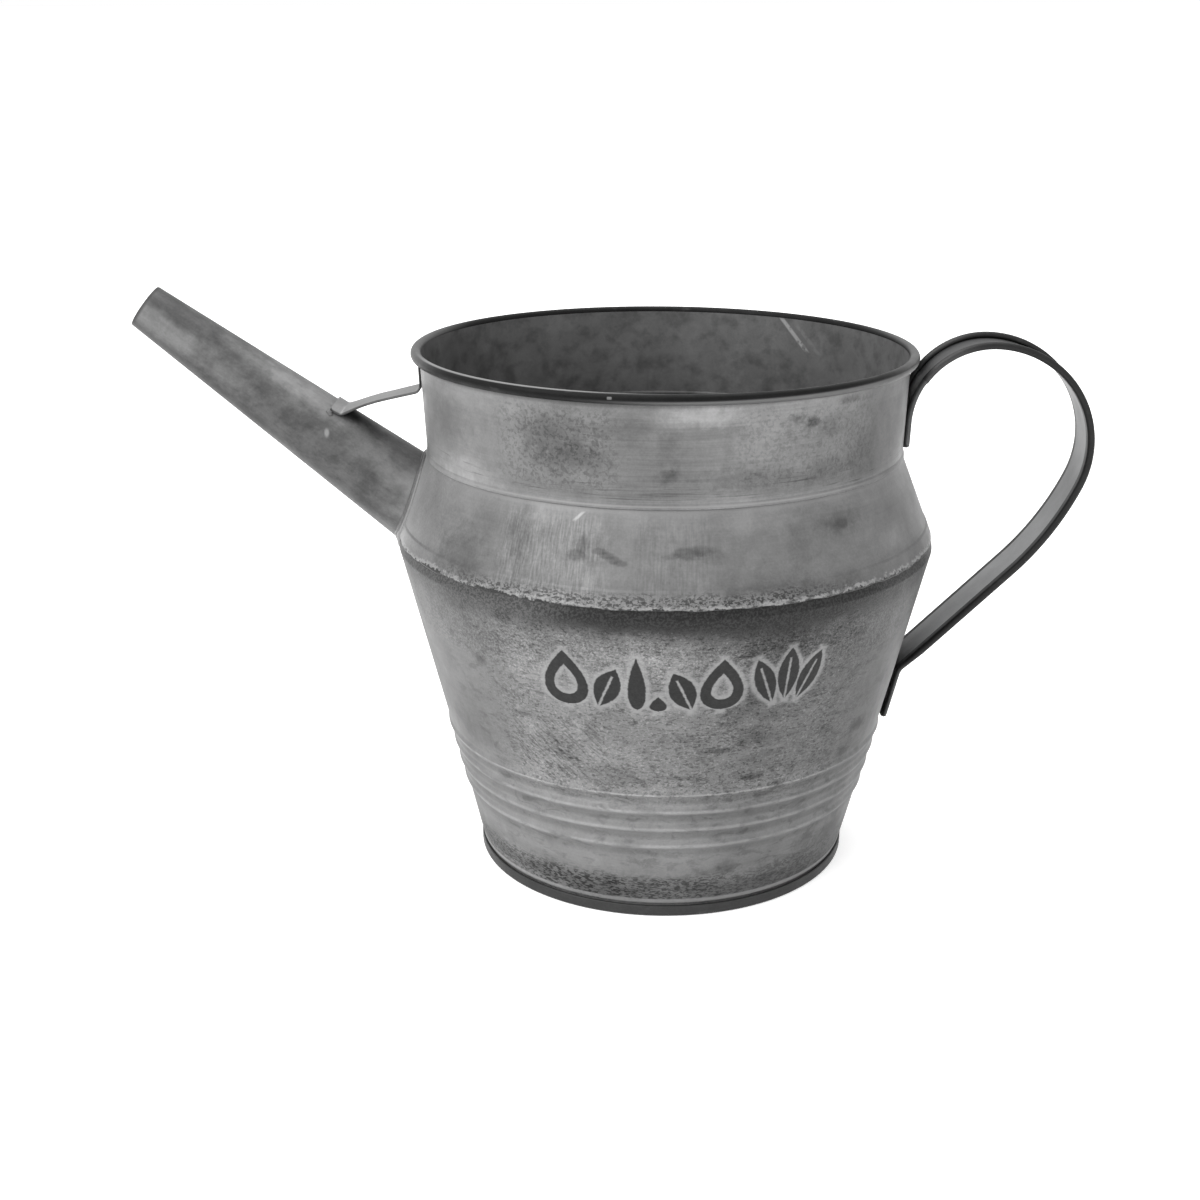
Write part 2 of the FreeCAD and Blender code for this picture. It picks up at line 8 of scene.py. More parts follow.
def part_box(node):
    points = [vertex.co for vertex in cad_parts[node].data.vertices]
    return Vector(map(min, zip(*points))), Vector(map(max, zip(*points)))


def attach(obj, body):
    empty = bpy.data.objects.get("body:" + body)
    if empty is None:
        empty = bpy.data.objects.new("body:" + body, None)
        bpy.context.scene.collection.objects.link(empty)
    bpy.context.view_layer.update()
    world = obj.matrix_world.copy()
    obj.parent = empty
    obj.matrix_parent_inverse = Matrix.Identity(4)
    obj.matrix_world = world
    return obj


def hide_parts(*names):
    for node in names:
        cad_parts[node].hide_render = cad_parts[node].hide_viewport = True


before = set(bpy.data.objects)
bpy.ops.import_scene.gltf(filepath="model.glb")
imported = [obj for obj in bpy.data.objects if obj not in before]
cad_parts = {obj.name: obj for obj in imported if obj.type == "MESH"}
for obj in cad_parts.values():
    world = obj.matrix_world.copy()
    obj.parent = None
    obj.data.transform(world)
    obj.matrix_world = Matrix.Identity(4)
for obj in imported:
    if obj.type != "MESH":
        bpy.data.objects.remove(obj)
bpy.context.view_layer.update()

# Looks for a weathered zinc watering can.  Shapes are worked out in millimetres, in the CAD frame:
# the can stands on z = 0, its turning axis is Z, the spout points along -X and the handle along +X.

MM = 0.001
GAUGE = 0.6                     # body sheet
BODY_R = 80                     # a middling radius, for distances round the can
SEED = 11


def lowest(node):
    """Least x, y and z of a CAD node, in millimetres."""
    return np.array(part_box(node)[0]) / MM


def highest(node):
    """Greatest x, y and z of a CAD node, in millimetres."""
    return np.array(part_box(node)[1]) / MM


# ---------- sizes ----------

HOOP_R = highest("base_hoop")[1]
HOOP_TOP = highest("base_hoop")[2]
HOOP_WALL = 0.8
HOOP_FLOOR = lowest("lower_shell")[2]
SKIRT_R = HOOP_R - HOOP_WALL
DISC_TOP = highest("base_disc")[2]
BELLY_R = highest("lower_shell")[1]
BELLY_Z = 118.4
FLANGE_TOP = highest("lower_shell")[2]
CONE_START = 5.4
CONE_SLOPE = 0.2447
RIB_FIRST = 29.75
RIB_PITCH = 7.15
RIB_COUNT = 4
RIB_HALF = 2.3
RIB_RISE = 0.75
HEM_LOW = lowest("shoulder_shell")[2]
HEM_TOP = 127.0
HEM_PROUD = 0.4
CREASE_Z = 151.2
CREASE_R = 84.35
SHOULDER_SLOPE = 0.389
LIP_TOP = highest("shoulder_shell")[2] - 4.4
LIP_R = 83.8
NECK_LOW = lowest("neck_collar")[2]
NECK_LIP_R = 85.1
NECK_START = 153.0
NECK_R = 84.5
NECK_SLOPE = 0.042
ROLL_R = 1.8                    # outside of the roll round the rim wire
RIM_Z = highest("neck_collar")[2] - ROLL_R
RIM_R = NECK_R + NECK_SLOPE * (RIM_Z - NECK_START) - GAUGE + ROLL_R

TIP = np.array([-183.2, 0.0, 201.3])
TIP_R = 8.2
SPOUT_DIP = math.radians(36.6)
SPOUT_TAPER = 0.0638
SPOUT_RUN = 135.0
SEAT_BELLY_R = 96.55
SEAT_CREASE_R = 84.42
SPOUT_HOLE_R = 9.3
SPOUT_HOLE_Z = 137.8

BRACE_GAUGE = 0.9
HANDLE_HALF = 11.5
HANDLE_ROLL = 1.3
HANDLE_SHEET = 0.55
HANDLE_START_Z = 153.5
ROLL_START = 25.0               # the edge rolls start this far up the neck foot
ROLL_FLAT = 30.0                # and flatten over the last of the heel
# The handle's centre line.  A straight run has a length; a bend has a radius, degrees and a turning sense.
HANDLE_RUNS = (
    (9.2,),
    (28.3, 90.3, -1),
    (35.7, 111.5, -1),
    (104.4, 20.9, -1),
    (51.9,),
    (5.0, 31.35, 1),
    (18.26,),
)


def cone_r(z):
    return BELLY_R - CONE_SLOPE * (BELLY_Z - z)


def shoulder_r(z):
    return CREASE_R + SHOULDER_SLOPE * (CREASE_Z - z)


def neck_r(z):
    return NECK_R + NECK_SLOPE * (z - NECK_START)


def seat_r(z, proud=0.0):
    """Outside of the belly and shoulder as the spout's root meets it."""
    fall = (SEAT_BELLY_R - SEAT_CREASE_R) / (CREASE_Z - HEM_LOW)
    return SEAT_BELLY_R - fall * np.clip(z - HEM_LOW, 0, None) + proud


# ---------- outlines in a plane ----------

def full_turn(count):
    """Even angles round a circle."""
    return np.linspace(0, 2 * math.pi, count, endpoint=False)


def unit(v):
    return v / np.linalg.norm(v, axis=-1, keepdims=True)


def fillet(before, corner, after, radius, steps=6):
    """Points of the arc that rounds one corner."""
    a = unit(before - corner)
    b = unit(after - corner)
    half = math.acos(float(np.clip(a @ b, -1, 1))) / 2
    if radius <= 0 or half > math.radians(89):
        return [corner]
    room = 0.45 * min(np.linalg.norm(before - corner), np.linalg.norm(after - corner))
    reach = min(radius / math.tan(half), room)
    radius = reach * math.tan(half)
    centre = corner + unit(a + b) * (radius / math.sin(half))
    start = corner + a * reach - centre
    finish = corner + b * reach - centre
    first = math.atan2(start[1], start[0])
    sweep = (math.atan2(finish[1], finish[0]) - first + math.pi) % (2 * math.pi) - math.pi
    turns = first + sweep * np.linspace(0, 1, steps)
    return [centre + radius * np.array([math.cos(t), math.sin(t)]) for t in turns]


def rounded(corners, closed=False):
    """A line through (x, y, fillet radius) corners."""
    places = [np.array(c[:2], float) for c in corners]
    count = len(places)
    line = []
    for i, corner in enumerate(corners):
        if not closed and i in (0, count - 1):
            line.append(places[i])
        else:
            line += fillet(places[i - 1], places[i], places[(i + 1) % count], corner[2])
    return np.array(line)


def divided(line, step):
    """The same line with no gap longer than step."""
    points = [line[0]]
    for a, b in zip(line[:-1], line[1:]):
        parts = max(1, math.ceil(np.linalg.norm(b - a) / step))
        points += [a + (b - a) * k / parts for k in range(1, parts + 1)]
    return np.array(points)


def line_normals(line):
    """Unit normals to the right of travel."""
    along = unit(np.gradient(line, axis=0))
    return np.stack([along[:, 1], -along[:, 0]], -1)


def sheet_outline(face, gauge, side, edge_steps=3):
    """Closed outline of a sheet, from the line of one face.  side is +1 if the metal lies to the right."""
    across = line_normals(face) * side * gauge
    middle = face + across / 2
    turns = np.linspace(0, math.pi, edge_steps + 2)[1:-1]

    def edge(i, outward):
        half = across[i] / 2
        return [middle[i] - half * math.cos(t) + outward * gauge / 2 * math.sin(t) for t in turns]

    finish = unit(face[-1] - face[-2])
    start = unit(face[0] - face[1])
    back = (face + across)[::-1]
    return np.array([*face, *edge(-1, finish), *back, *edge(0, start)[::-1]])


# ---------- meshes ----------

def lattice(rows, columns, wrap_rows=False, wrap_columns=False):
    """Faces of a grid of points, numbered row by row."""
    i = np.arange(rows if wrap_rows else rows - 1)[:, None]
    j = np.arange(columns if wrap_columns else columns - 1)[None, :]
    i2 = (i + 1) % rows
    j2 = (j + 1) % columns
    corners = [i * columns + j, i * columns + j2, i2 * columns + j2, i2 * columns + j]
    return np.stack(np.broadcast_arrays(*corners), -1).reshape(-1, 4).tolist()


def end_caps(rows, columns):
    """The two end faces of a tube whose points are numbered ring by ring."""
    last = (rows - 1) * columns
    return [list(range(columns))[::-1], list(range(last, last + columns))]


def tidy_mesh(mesh):
    """Join coincident points and turn every face outward."""
    work = bmesh.new()
    work.from_mesh(mesh)
    bmesh.ops.remove_doubles(work, verts=work.verts, dist=1e-7)
    bmesh.ops.recalc_face_normals(work, faces=work.faces)
    work.to_mesh(mesh)
    work.free()


def make_piece(name, points, faces, paints, which=None, crisp=38):
    """An object from points in millimetres.

    which gives each face's place in the list of paints, and edges that bend by over crisp degrees stay sharp.
    """
    mesh = bpy.data.meshes.new(name)
    mesh.from_pydata((np.asarray(points).reshape(-1, 3) * MM).tolist(), [], faces)
    for paint in paints:
        mesh.materials.append(paint)
    if which is not None:
        mesh.polygons.foreach_set("material_index", np.asarray(which, np.int32))
    tidy_mesh(mesh)
    mesh.shade_smooth()
    mesh.set_sharp_from_angle(angle=math.radians(crisp))
    piece = bpy.data.objects.new(name, mesh)
    bpy.context.scene.collection.objects.link(piece)
    return piece


def belongs(piece, node):
    """Give a piece its body and hide the CAD node that it stands for."""
    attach(piece, "root")
    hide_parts(node)
    return piece


def bend_waves():
    """Shallow bends that hand work leaves in the sheet: whole waves round the can, and how they lean."""
    draw = np.random.default_rng(SEED)
    waves = []
    for count in (2, 3, 5, 7, 11, 17):
        phase = draw.uniform(0, 6.28)
        lean = draw.uniform(-0.03, 0.03)
        waves.append((count, phase, lean, draw.uniform(0.5, 1.0)))
    return waves


WAVES = bend_waves()
WAVE_DEPTH = 0.045


def hand_made(angle, z):
    """Radial error of the body at an angle and height, never outward, and none at the foot and rim."""
    total = 0.0
    for count, phase, lean, size in WAVES:
        total = total + size * (np.sin(count * angle + phase + lean * z) - 1)
    fade = np.clip((z - 6) / 20, 0, 1) * np.clip((178 - z) / 15, 0, 1)
    return WAVE_DEPTH * total * fade


SKEW = (                        # height, lean towards the handle, widening along X
    (0, 0.0, -0.9),
    (40, 0.5, -0.4),
    (60, 0.6, -0.3),
    (118, 0.6, -0.3),
    (150, 0.2, 0.0),
    (184, 0.0, 0.0),
)


def askew(angle, z):
    """How far the body is out of round: it leans a little and is slightly oval."""
    heights, leans, widths = zip(*SKEW)
    return np.interp(z, heights, leans) * np.cos(angle) + np.interp(z, heights, widths) * np.cos(angle) ** 2


def rim_sag(angle, z):
    """How far the top has been knocked down, most of all behind on the handle side."""
    return (1 + np.cos(angle - math.radians(50))) * np.clip((z - 158) / 27, 0, 1)


SEAM_ANGLE = math.radians(62)   # behind, near the handle
SEAM_HALF = 2.6
SEAM_RISE = 0.42
COLUMNS = 288


def seam_rise(angle, radius, z, outside, low, high):
    """Height of the flat lock seam that closes the sheet into a ring, on the outside only."""
    off = (angle - SEAM_ANGLE) * BODY_R
    ridge = np.clip((SEAM_HALF - np.abs(off)) / 0.5, 0, 1)
    ends = np.clip((z - low) / 1.5, 0, 1) * np.clip((high - z) / 1.5, 0, 1)
    return SEAM_RISE * ridge * ends * (radius > outside - GAUGE / 2)


def as_made(angle, radius, z, outside, low, high):
    """A body point with its dents, skew and seam."""
    return radius + hand_made(angle, z) + askew(angle, z) + seam_rise(angle, radius, z, outside, low, high)


def column_angles():
    """Even columns all round, with extra ones at the seam's edges."""
    even = full_turn(COLUMNS)
    edges = np.array([-SEAM_HALF, -SEAM_HALF + 0.5, SEAM_HALF - 0.5, SEAM_HALF]) / BODY_R
    return np.sort(np.concatenate([even, SEAM_ANGLE + edges]))


def inner_rows(outline, outer):
    """Paint numbers for the rows of a sheet's outline: 0 on its outer face and 1 on the rest."""
    return (np.arange(len(outline)) >= len(outer)).astype(int)


def lathe(name, outline, paints, which=None, shape=None):
    """Turn a closed outline of (radius, height) about Z.  shape(angle, radius, z) may move the points."""
    angle = column_angles()[None, :]
    radius = np.repeat(outline[:, :1], angle.size, 1)
    z = np.repeat(outline[:, 1:2], angle.size, 1)
    if shape is not None:
        radius, z = shape(angle, radius, z)
    points = np.stack([radius * np.cos(angle), radius * np.sin(angle), z], -1)
    rows, columns = radius.shape
    faces = lattice(rows, columns, True, True)
    if which is not None:
        which = np.repeat(which, columns)
    return make_piece(name, points, faces, paints, which)


def turned(node, outline, paints, which=None, shape=None):
    """A turned piece that stands for one CAD node."""
    return belongs(lathe(node + "_skin", outline, paints, which, shape), node)


# ---------- shader nodes ----------

class Field:
    """A number or vector that varies over a surface, held as a node's output."""

    def __init__(self, brush, socket):
        self.brush = brush
        self.socket = socket

    def __add__(self, other):
        return self.brush.math("ADD", self, other)

    def __radd__(self, other):
        return self.brush.math("ADD", other, self)

    def __sub__(self, other):
        return self.brush.math("SUBTRACT", self, other)

    def __rsub__(self, other):
        return self.brush.math("SUBTRACT", other, self)

    def __mul__(self, other):
        return self.brush.math("MULTIPLY", self, other)

    def __rmul__(self, other):
        return self.brush.math("MULTIPLY", other, self)

    def __truediv__(self, other):
        return self.brush.math("DIVIDE", self, other)


class Brush:
    """Builds the nodes of one material.  Lengths are in millimetres, greys are as seen on a screen."""

    def __init__(self, name):
        self.paint = bpy.data.materials.new(name)
        self.paint.use_nodes = True
        self.tree = self.paint.node_tree
        self.tree.nodes.clear()
        place = Field(self, self.node("TexCoord").outputs["Object"])
        self.place = self.vector("MULTIPLY", place, (1 / MM,) * 3)
        self.x, self.y, self.z = (Field(self, out) for out in self.node("SeparateXYZ", self.place).outputs)

    def feed(self, socket, value):
        if isinstance(value, Field):
            self.tree.links.new(value.socket, socket)
        else:
            socket.default_value = value

    def node(self, kind, *values, **settings):
        """A new node with its settings, and its inputs fed in order."""
        node = self.tree.nodes.new("ShaderNode" + kind)
        for name, setting in settings.items():
            setattr(node, name, setting)
        for socket, value in zip(node.inputs, values):
            self.feed(socket, value)
        return node

    def field(self, kind, *values, **settings):
        return Field(self, self.node(kind, *values, **settings).outputs[0])

    def math(self, operation, *values, clamp=False):
        return self.field("Math", *values, operation=operation, use_clamp=clamp)

    def vector(self, operation, *values):
        return self.field("VectorMath", *values, operation=operation)

    def noise(self, size, detail=3.0, rough=0.5, stretch=(1, 1, 1), shift=0.0, warp=0.0, place=None):
        """Noise from 0 to 1 whose blobs are about size long, times stretch along each axis."""
        scale = tuple(1 / (size * s) for s in stretch)
        moved = self.vector("MULTIPLY_ADD", place or self.place, scale, (shift, shift * 0.7, shift * 1.3))
        node = self.node("TexNoise", moved)
        settings = {"Scale": 1.0, "Detail": detail, "Roughness": rough, "Distortion": warp}
        for name, value in settings.items():
            node.inputs[name].default_value = value
        return Field(self, node.outputs[0])

    def drift(self, *blobs, **places):
        """Noise about 0, from -0.5 to 0.5."""
        return self.noise(*blobs, **places) - 0.5

    def ramp(self, value, low, high):
        """0 below low and 1 above high, smooth between.  low may be above high."""
        rising = low < high
        start, finish = (low, high) if rising else (high, low)
        ends = (0.0, 1.0) if rising else (1.0, 0.0)
        return self.field("MapRange", value, start, finish, *ends, interpolation_type="SMOOTHSTEP")

    def band(self, value, middle, half, soft):
        """1 within half of middle, falling to 0 over soft."""
        return self.ramp(self.math("ABSOLUTE", value - middle), half + soft, half)

    def ahead(self, far, near):
        """0 behind the depth far and 1 in front of near, so that tones by angle meet behind the can."""
        return self.ramp(self.y, far, near)

    def stops(self, value, low, high, greys):
        """A curve through (place, grey) stops."""
        node = self.node("ValToRGB", (value - low) / (high - low))
        ramp = node.color_ramp
        ramp.interpolation = "EASE"
        for k, (place, grey) in enumerate(greys):
            spot = ramp.elements[k] if k < 2 else ramp.elements.new(1.0)
            spot.position = (place - low) / (high - low)
            spot.color = (grey, grey, grey, 1)
        return Field(self, node.outputs[0])

    def mix(self, first, second, amount):
        """first where amount is 0, second where it is 1."""
        node = self.node("Mix")
        for name, value in (("Factor", amount), ("A", first), ("B", second)):
            self.feed(node.inputs[name], value)
        return Field(self, node.outputs[0])

    def more(self, first, second):
        return self.math("MAXIMUM", first, second)

    def less(self, first, second):
        return self.math("MINIMUM", first, second)

    def turn(self):
        """Angle round the can in degrees, 0 at the front and rising towards the handle."""
        return self.math("ARCTAN2", self.x, 0 - self.y) * (180 / math.pi)

    def dot(self, direction, origin=(0, 0, 0)):
        """Distance from an origin along a direction."""
        off = self.vector("SUBTRACT", self.place, tuple(origin))
        node = self.node("VectorMath", off, tuple(direction), operation="DOT_PRODUCT")
        return Field(self, node.outputs["Value"])

    def join(self, *parts):
        """Three numbers as a place for noise."""
        return self.field("CombineXYZ", *parts)

    def round_tone(self, around, *stops):
        """Tone by degrees round the front, the same on both sides of the back."""
        back = 0.52
        return self.stops(around, -180, 180, ((-180, back), (-100, back), *stops, (100, back), (180, back)))

    def finish(self, grey, rough, height, metallic=0.55, tint=(1, 1, 1), glow=0.0, share=None, shine=0.5):
        """Close the material: grey as seen under the lamps, roughness, and relief in millimetres."""
        seen = self.less(self.more(grey, 0.02), 1.0) * (SEEN_SHARE if share is None else share)
        tone = self.math("POWER", seen, 2.2)
        bump = self.node("Bump")
        metal = self.node("BsdfPrincipled")
        feeds = [(bump, "Strength", 1.0), (bump, "Distance", MM), (bump, "Height", height),
                 (metal, "Metallic", metallic), (metal, "Specular IOR Level", shine),
                 (metal, "Roughness", rough),
                 (metal, "Base Color", self.field("CombineColor", *(tone * part for part in tint))),
                 (metal, "Normal", Field(self, bump.outputs[0]))]
        if glow:
            feeds += [(metal, "Emission Color", (1, 1, 1, 1)), (metal, "Emission Strength", glow)]
        for node, name, value in feeds:
            self.feed(node.inputs[name], value)
        self.node("OutputMaterial", Field(self, metal.outputs[0]))
        return self.paint


# ---------- materials ----------

SEEN_SHARE = 0.78               # a surface painted this much darker looks as light as its listed tone


def zinc_layers(b, shift=0.0, brush=0.06):
    """The patina that all the outer sheet shares: cloud, patches, brush marks and grain, about 0."""
    cloud = b.drift(55, 2, 0.5, shift=shift)
    patch = b.drift(17, 4, 0.62, shift=shift + 3.1, warp=0.6)
    small = b.drift(5, 3, 0.6, shift=shift + 8.3, warp=0.5)
    lines = b.drift(6, 3, 0.6, stretch=(3.2, 3.2, 0.14), shift=shift + 1.7)
    grain = b.drift(0.8, 2, 0.6, shift=shift + 5.0)
    return 0.13 * cloud + 0.15 * patch + 0.09 * small + brush * lines + 0.08 * grain


def flecks(b, size, share, shift, stretch=(1, 1, 1), place=None):
    """Small marks with soft edges: 1 inside them and 0 between.  A smaller share gives more of them."""
    pattern = b.noise(size, 2, 0.6, stretch=stretch, shift=shift, warp=0.5, place=place)
    return b.ramp(pattern, share - 0.03, share + 0.13)


def zinc_rough(b, base=0.5):
    return base + 0.25 * b.drift(14, 3, 0.6, shift=12.0)


def zinc_relief(b, depth=1.0):
    """Dents, brush marks and grain, in millimetres."""
    wave = b.noise(22, 2, 0.5, shift=20.0) * (0.25 * depth)
    marks = b.noise(5, 2, 0.5, stretch=(4, 4, 0.1), shift=21.0) * 0.008
    grain = b.noise(0.7, 2, 0.6, shift=22.0) * 0.02
    return wave + marks + grain


def blade_distance(b, across, up, blade):
    """How far a point is outside a drop or a leaf."""
    u, v, length, width, tilt, kind = blade
    turn = math.radians(tilt)
    du = across - u
    dv = up - v
    along = du * math.sin(turn) + dv * math.cos(turn)
    side = b.math("ABSOLUTE", du * math.cos(turn) - dv * math.sin(turn))
    share = b.math("ADD", along / length, 0.5, clamp=True)
    if kind == "leaf":
        swell = share * (1 - share) * 4
    else:
        swell = b.math("SQRT", share) * (1 - share) * 2.6
    away = b.more(side - swell * (width / 2), b.math("ABSOLUTE", along) - length / 2)
    if kind == "ring":
        inner = blade_distance(b, across, up, (u, v - 0.7, length - 8.6, width - 2 * STROKE, tilt, "drop"))
        away = b.more(away, 0 - inner)
    if kind == "leaf":
        away = b.more(away, b.less(0.5 - side, length * 0.32 - along))
    return away


STROKE = 3.3                    # width of a ring's painted line
STENCIL_R = 89                  # the cone's radius at the painted row
STENCIL = (                     # across, up, length, width, lean in degrees, kind
    (-31.5, 95.0, 20.0, 15.0, 0, "ring"),
    (-17.6, 92.6, 15.5, 8.4, 24, "leaf"),
    (-7.9, 94.6, 19.0, 5.6, 0, "drop"),
    (-1.0, 87.2, 5.2, 5.4, 0, "drop"),
    (6.8, 92.0, 15.0, 8.4, -24, "leaf"),
    (19.6, 94.2, 18.6, 14.0, 0, "ring"),
    (34.0, 93.8, 18.0, 6.8, -22, "leaf"),
    (42.0, 95.6, 19.0, 7.4, 0, "leaf"),
    (50.0, 93.8, 18.0, 6.8, 22, "leaf"),
)


def stencil(b, around):
    """Distance outside a painted row of drops and leaves on the front of the cone."""
    across = around * (math.pi / 180 * STENCIL_R)
    far = 50.0
    nearest = far
    for blade in STENCIL:
        nearest = b.less(blade_distance(b, across, b.z, blade), nearest)
    return nearest + b.ramp(b.y, -20, 20) * far


# Stains: degrees round, height, half width in degrees, half height, and darkening (lighter if below 0).
LOWER_STAINS = (
    (-33.5, 114, 2.4, 2.2, 0.13), (-43, 94, 1.6, 2.0, 0.12), (-55, 63, 8, 5, 0.06),
    (-32, 77, 3.5, 0.8, 0.10), (-16, 74, 1.6, 2.4, 0.09), (12, 68.5, 3.0, 1.1, 0.14),
    (21, 72, 4.5, 3.5, 0.09), (4, 58, 5.0, 1.0, 0.09), (22, 56.5, 2.4, 1.1, 0.12),
    (30, 51, 1.6, 1.6, 0.12), (54.5, 65, 3.4, 2.8, 0.17), (51, 56, 2.4, 2.4, 0.14),
    (61, 80, 2, 2, 0.08), (20, 90, 3.6, 7, 0.07), (25, 108, 13, 6, 0.11),
    (43, 97, 5, 16, 0.03), (18, 19, 3, 3, 0.09), (58, 20, 6, 4, 0.10),
    (44, 22, 4, 5, 0.06), (-25, 68, 9, 4, 0.05), (-2, 104, 8, 2, -0.06),
    (-30, 98, 4, 8, -0.03), (-12, 46, 30, 2, -0.03), (-12, 57, 10, 5, 0.07),
    (17, 82, 4, 5, 0.06), (-1, 78, 14, 9, 0.04), (57, 72, 8, 30, 0.05),
    (-18, 9, 8, 3, 0.05), (25, 15, 12, 2.5, -0.06), (-46, 15.5, 7, 2, -0.09),
)
SHOULDER_SPOTS = (
    (-17.6, 136.6, 2.0, 1.7, 0.09), (-16.7, 139.6, 1.3, 3.0, 0.07), (-12.9, 138.3, 1.5, 1.0, 0.08),
    (-11.2, 137.2, 1.5, 1.1, 0.08), (-9.8, 136.0, 1.6, 1.2, 0.08), (-8.4, 135.1, 1.3, 1.0, 0.08),
    (2.0, 137.4, 2.0, 0.9, 0.06), (5.0, 138.2, 3.0, 1.9, 0.09), (8.0, 138.8, 2.4, 1.6, 0.07),
    (10.5, 137.0, 3.0, 2.4, 0.04), (41, 142, 2.0, 1.5, 0.06),
)
SHOULDER_CLOUDS = (
    (41, 142.5, 4.5, 3.0, 0.06), (40, 144, 8, 5, 0.03), (30, 138, 2.6, 9, 0.035),
    (26, 124, 16, 3, 0.05), (-46, 130, 6, 7, 0.09), (-31, 140, 2.5, 9, 0.07),
    (-58, 137, 8, 8, 0.05), (21, 129, 9, 4, 0.05), (17, 146, 3, 4, -0.04),
    (56, 133, 4, 3, -0.05),
)
NECK_STAINS = (
    (-56, 172, 7, 7, 0.07), (-24, 174, 8, 7, 0.09), (-20, 166, 7, 4, 0.08),
    (1, 162, 2.2, 2.0, 0.12), (1, 171, 3, 5, 0.05), (29, 178.5, 1.8, 1.5, 0.12),
    (33.5, 177, 1.7, 1.5, 0.14), (38, 175, 4, 4, 0.06), (33, 171, 8, 5, 0.03),
    (50, 164, 5, 8, 0.07), (40, 160, 6, 4, 0.05), (44, 182, 2.5, 1.2, 0.12),
    (14, 160.5, 6, 3, 0.06), (26, 159.5, 12, 4, 0.05), (-8, 178, 6, 6, 0.05),
    (8.5, 181.5, 7.5, 3.4, -0.13), (-67, 157, 8, 5, -0.05), (-50, 156, 9, 4, -0.07),
    (22, 172, 4, 6, -0.05), (69, 172, 7, 12, 0.07),
)


def stains(b, round_about, spots, soft=0.75, torn=2.6):
    """Darker and lighter blotches with ragged edges, at the places where they show most."""
    total = 0.0
    ragged = b.drift(4, 5, 0.7, shift=31.0) * torn
    for degrees, height, wide, tall, depth in spots:
        du = (round_about - degrees) / wide
        dv = (b.z - height) / tall
        away = b.math("SQRT", du * du + dv * dv) + ragged
        total = b.ramp(away, 0.95 + soft, 0.95 - soft) * depth + total
    return total


def crazed_patch(b, around, grey):
    """Fine dark cracks in the middle and slanting brush marks on their left.  Gives the relief too."""
    middle = b.band(b.z, 84, 30, 12) * b.band(around, 4, 34, 20)
    crowd = b.drift(13, 3, 0.6, shift=24.0) * 0.22
    cracks = b.ramp(b.noise(1.05, 3, 0.65, stretch=(1.4, 1.4, 0.7), shift=9.0, warp=0.7) + crowd, 0.47, 0.68)
    sparks = flecks(b, 0.9, 0.56, 29.0)
    dabs = b.ramp(b.noise(4.5, 4, 0.65, stretch=(1.6, 1.6, 0.8), shift=25.0, warp=0.8), 0.50, 0.66)
    rules = flecks(b, 4.0, 0.52, 26.0, (3, 3, 0.16))
    grey = grey - (cracks - 0.35) * 0.17 * middle + (sparks - 0.2) * 0.09 * middle
    grey = grey - (dabs - 0.3) * 0.07 * b.band(around, 4, 44, 24)
    grey = grey - (rules - 0.35) * 0.05 * b.band(b.z, 98, 10, 8) * b.band(around, -2, 26, 14)
    slant = b.join(around * 1.5 + b.z * 1.1, (b.z - around * 1.2) / 6, 0.0)
    strokes = flecks(b, 1.3, 0.52, 39.0, place=slant)
    grey = grey - (strokes - 0.35) * 0.11 * b.band(b.z, 66, 9, 6) * b.band(around, -24, 9, 7)
    return grey, cracks * -0.04 * middle


def belly_shade_and_patina(b, around, grey):
    """Painted shade under the belly, with a peppered patina edge, deepest right of the middle."""
    edge = 105 + 15 * b.round_tone(around, (-72, 0.88), (-55, 0.66), (-45, 0.66), (-35, 0.62), (-20, 0.64),
                                   (-8, 0.60), (5, 0.55), (20, 0.51), (32, 0.54), (40, 0.66), (55, 0.64),
                                   (75, 0.72))
    pepper = b.drift(0.8, 2, 0.7, shift=27.0)
    reach = b.drift(9, 5, 0.7, shift=14.0) * 7 + pepper * 12
    under = b.ramp(b.z + reach - edge, -4.5, 3.4)
    salt = b.ramp(pepper, -0.07, 0.07) - 0.5
    grey = grey + salt * 0.09 * b.band(b.z, 107, 9, 6)
    shade = 0.15 + 0.17 * b.band(around, -55, 27, 15) + 0.10 * b.ramp(around, 42, 55) * b.ahead(60, 30)
    return b.mix(grey, shade + salt * 0.12, under * 0.95)


def foot_grime(b, around, grey):
    """Grime above the hoop, broken into dots and thinner on the right."""
    smear = b.drift(10, 4, 0.65, stretch=(2.5, 2.5, 0.5), shift=17.0)
    low = b.band(b.z + smear * 9, 11, 2.6, 5.5) * b.ramp(b.noise(26, 2, 0.5, shift=40.0), 0.15, 0.42)
    dots = flecks(b, 0.95, 0.47, 41.0, (1.8, 1.8, 0.7))
    dirt = low * (0.05 + 0.20 * dots) * (1 - 0.45 * b.ramp(around, 6, 30))
    return grey - dirt * (1 + 0.4 * b.band(around, -25, 9, 9)) * b.ahead(25, 0)


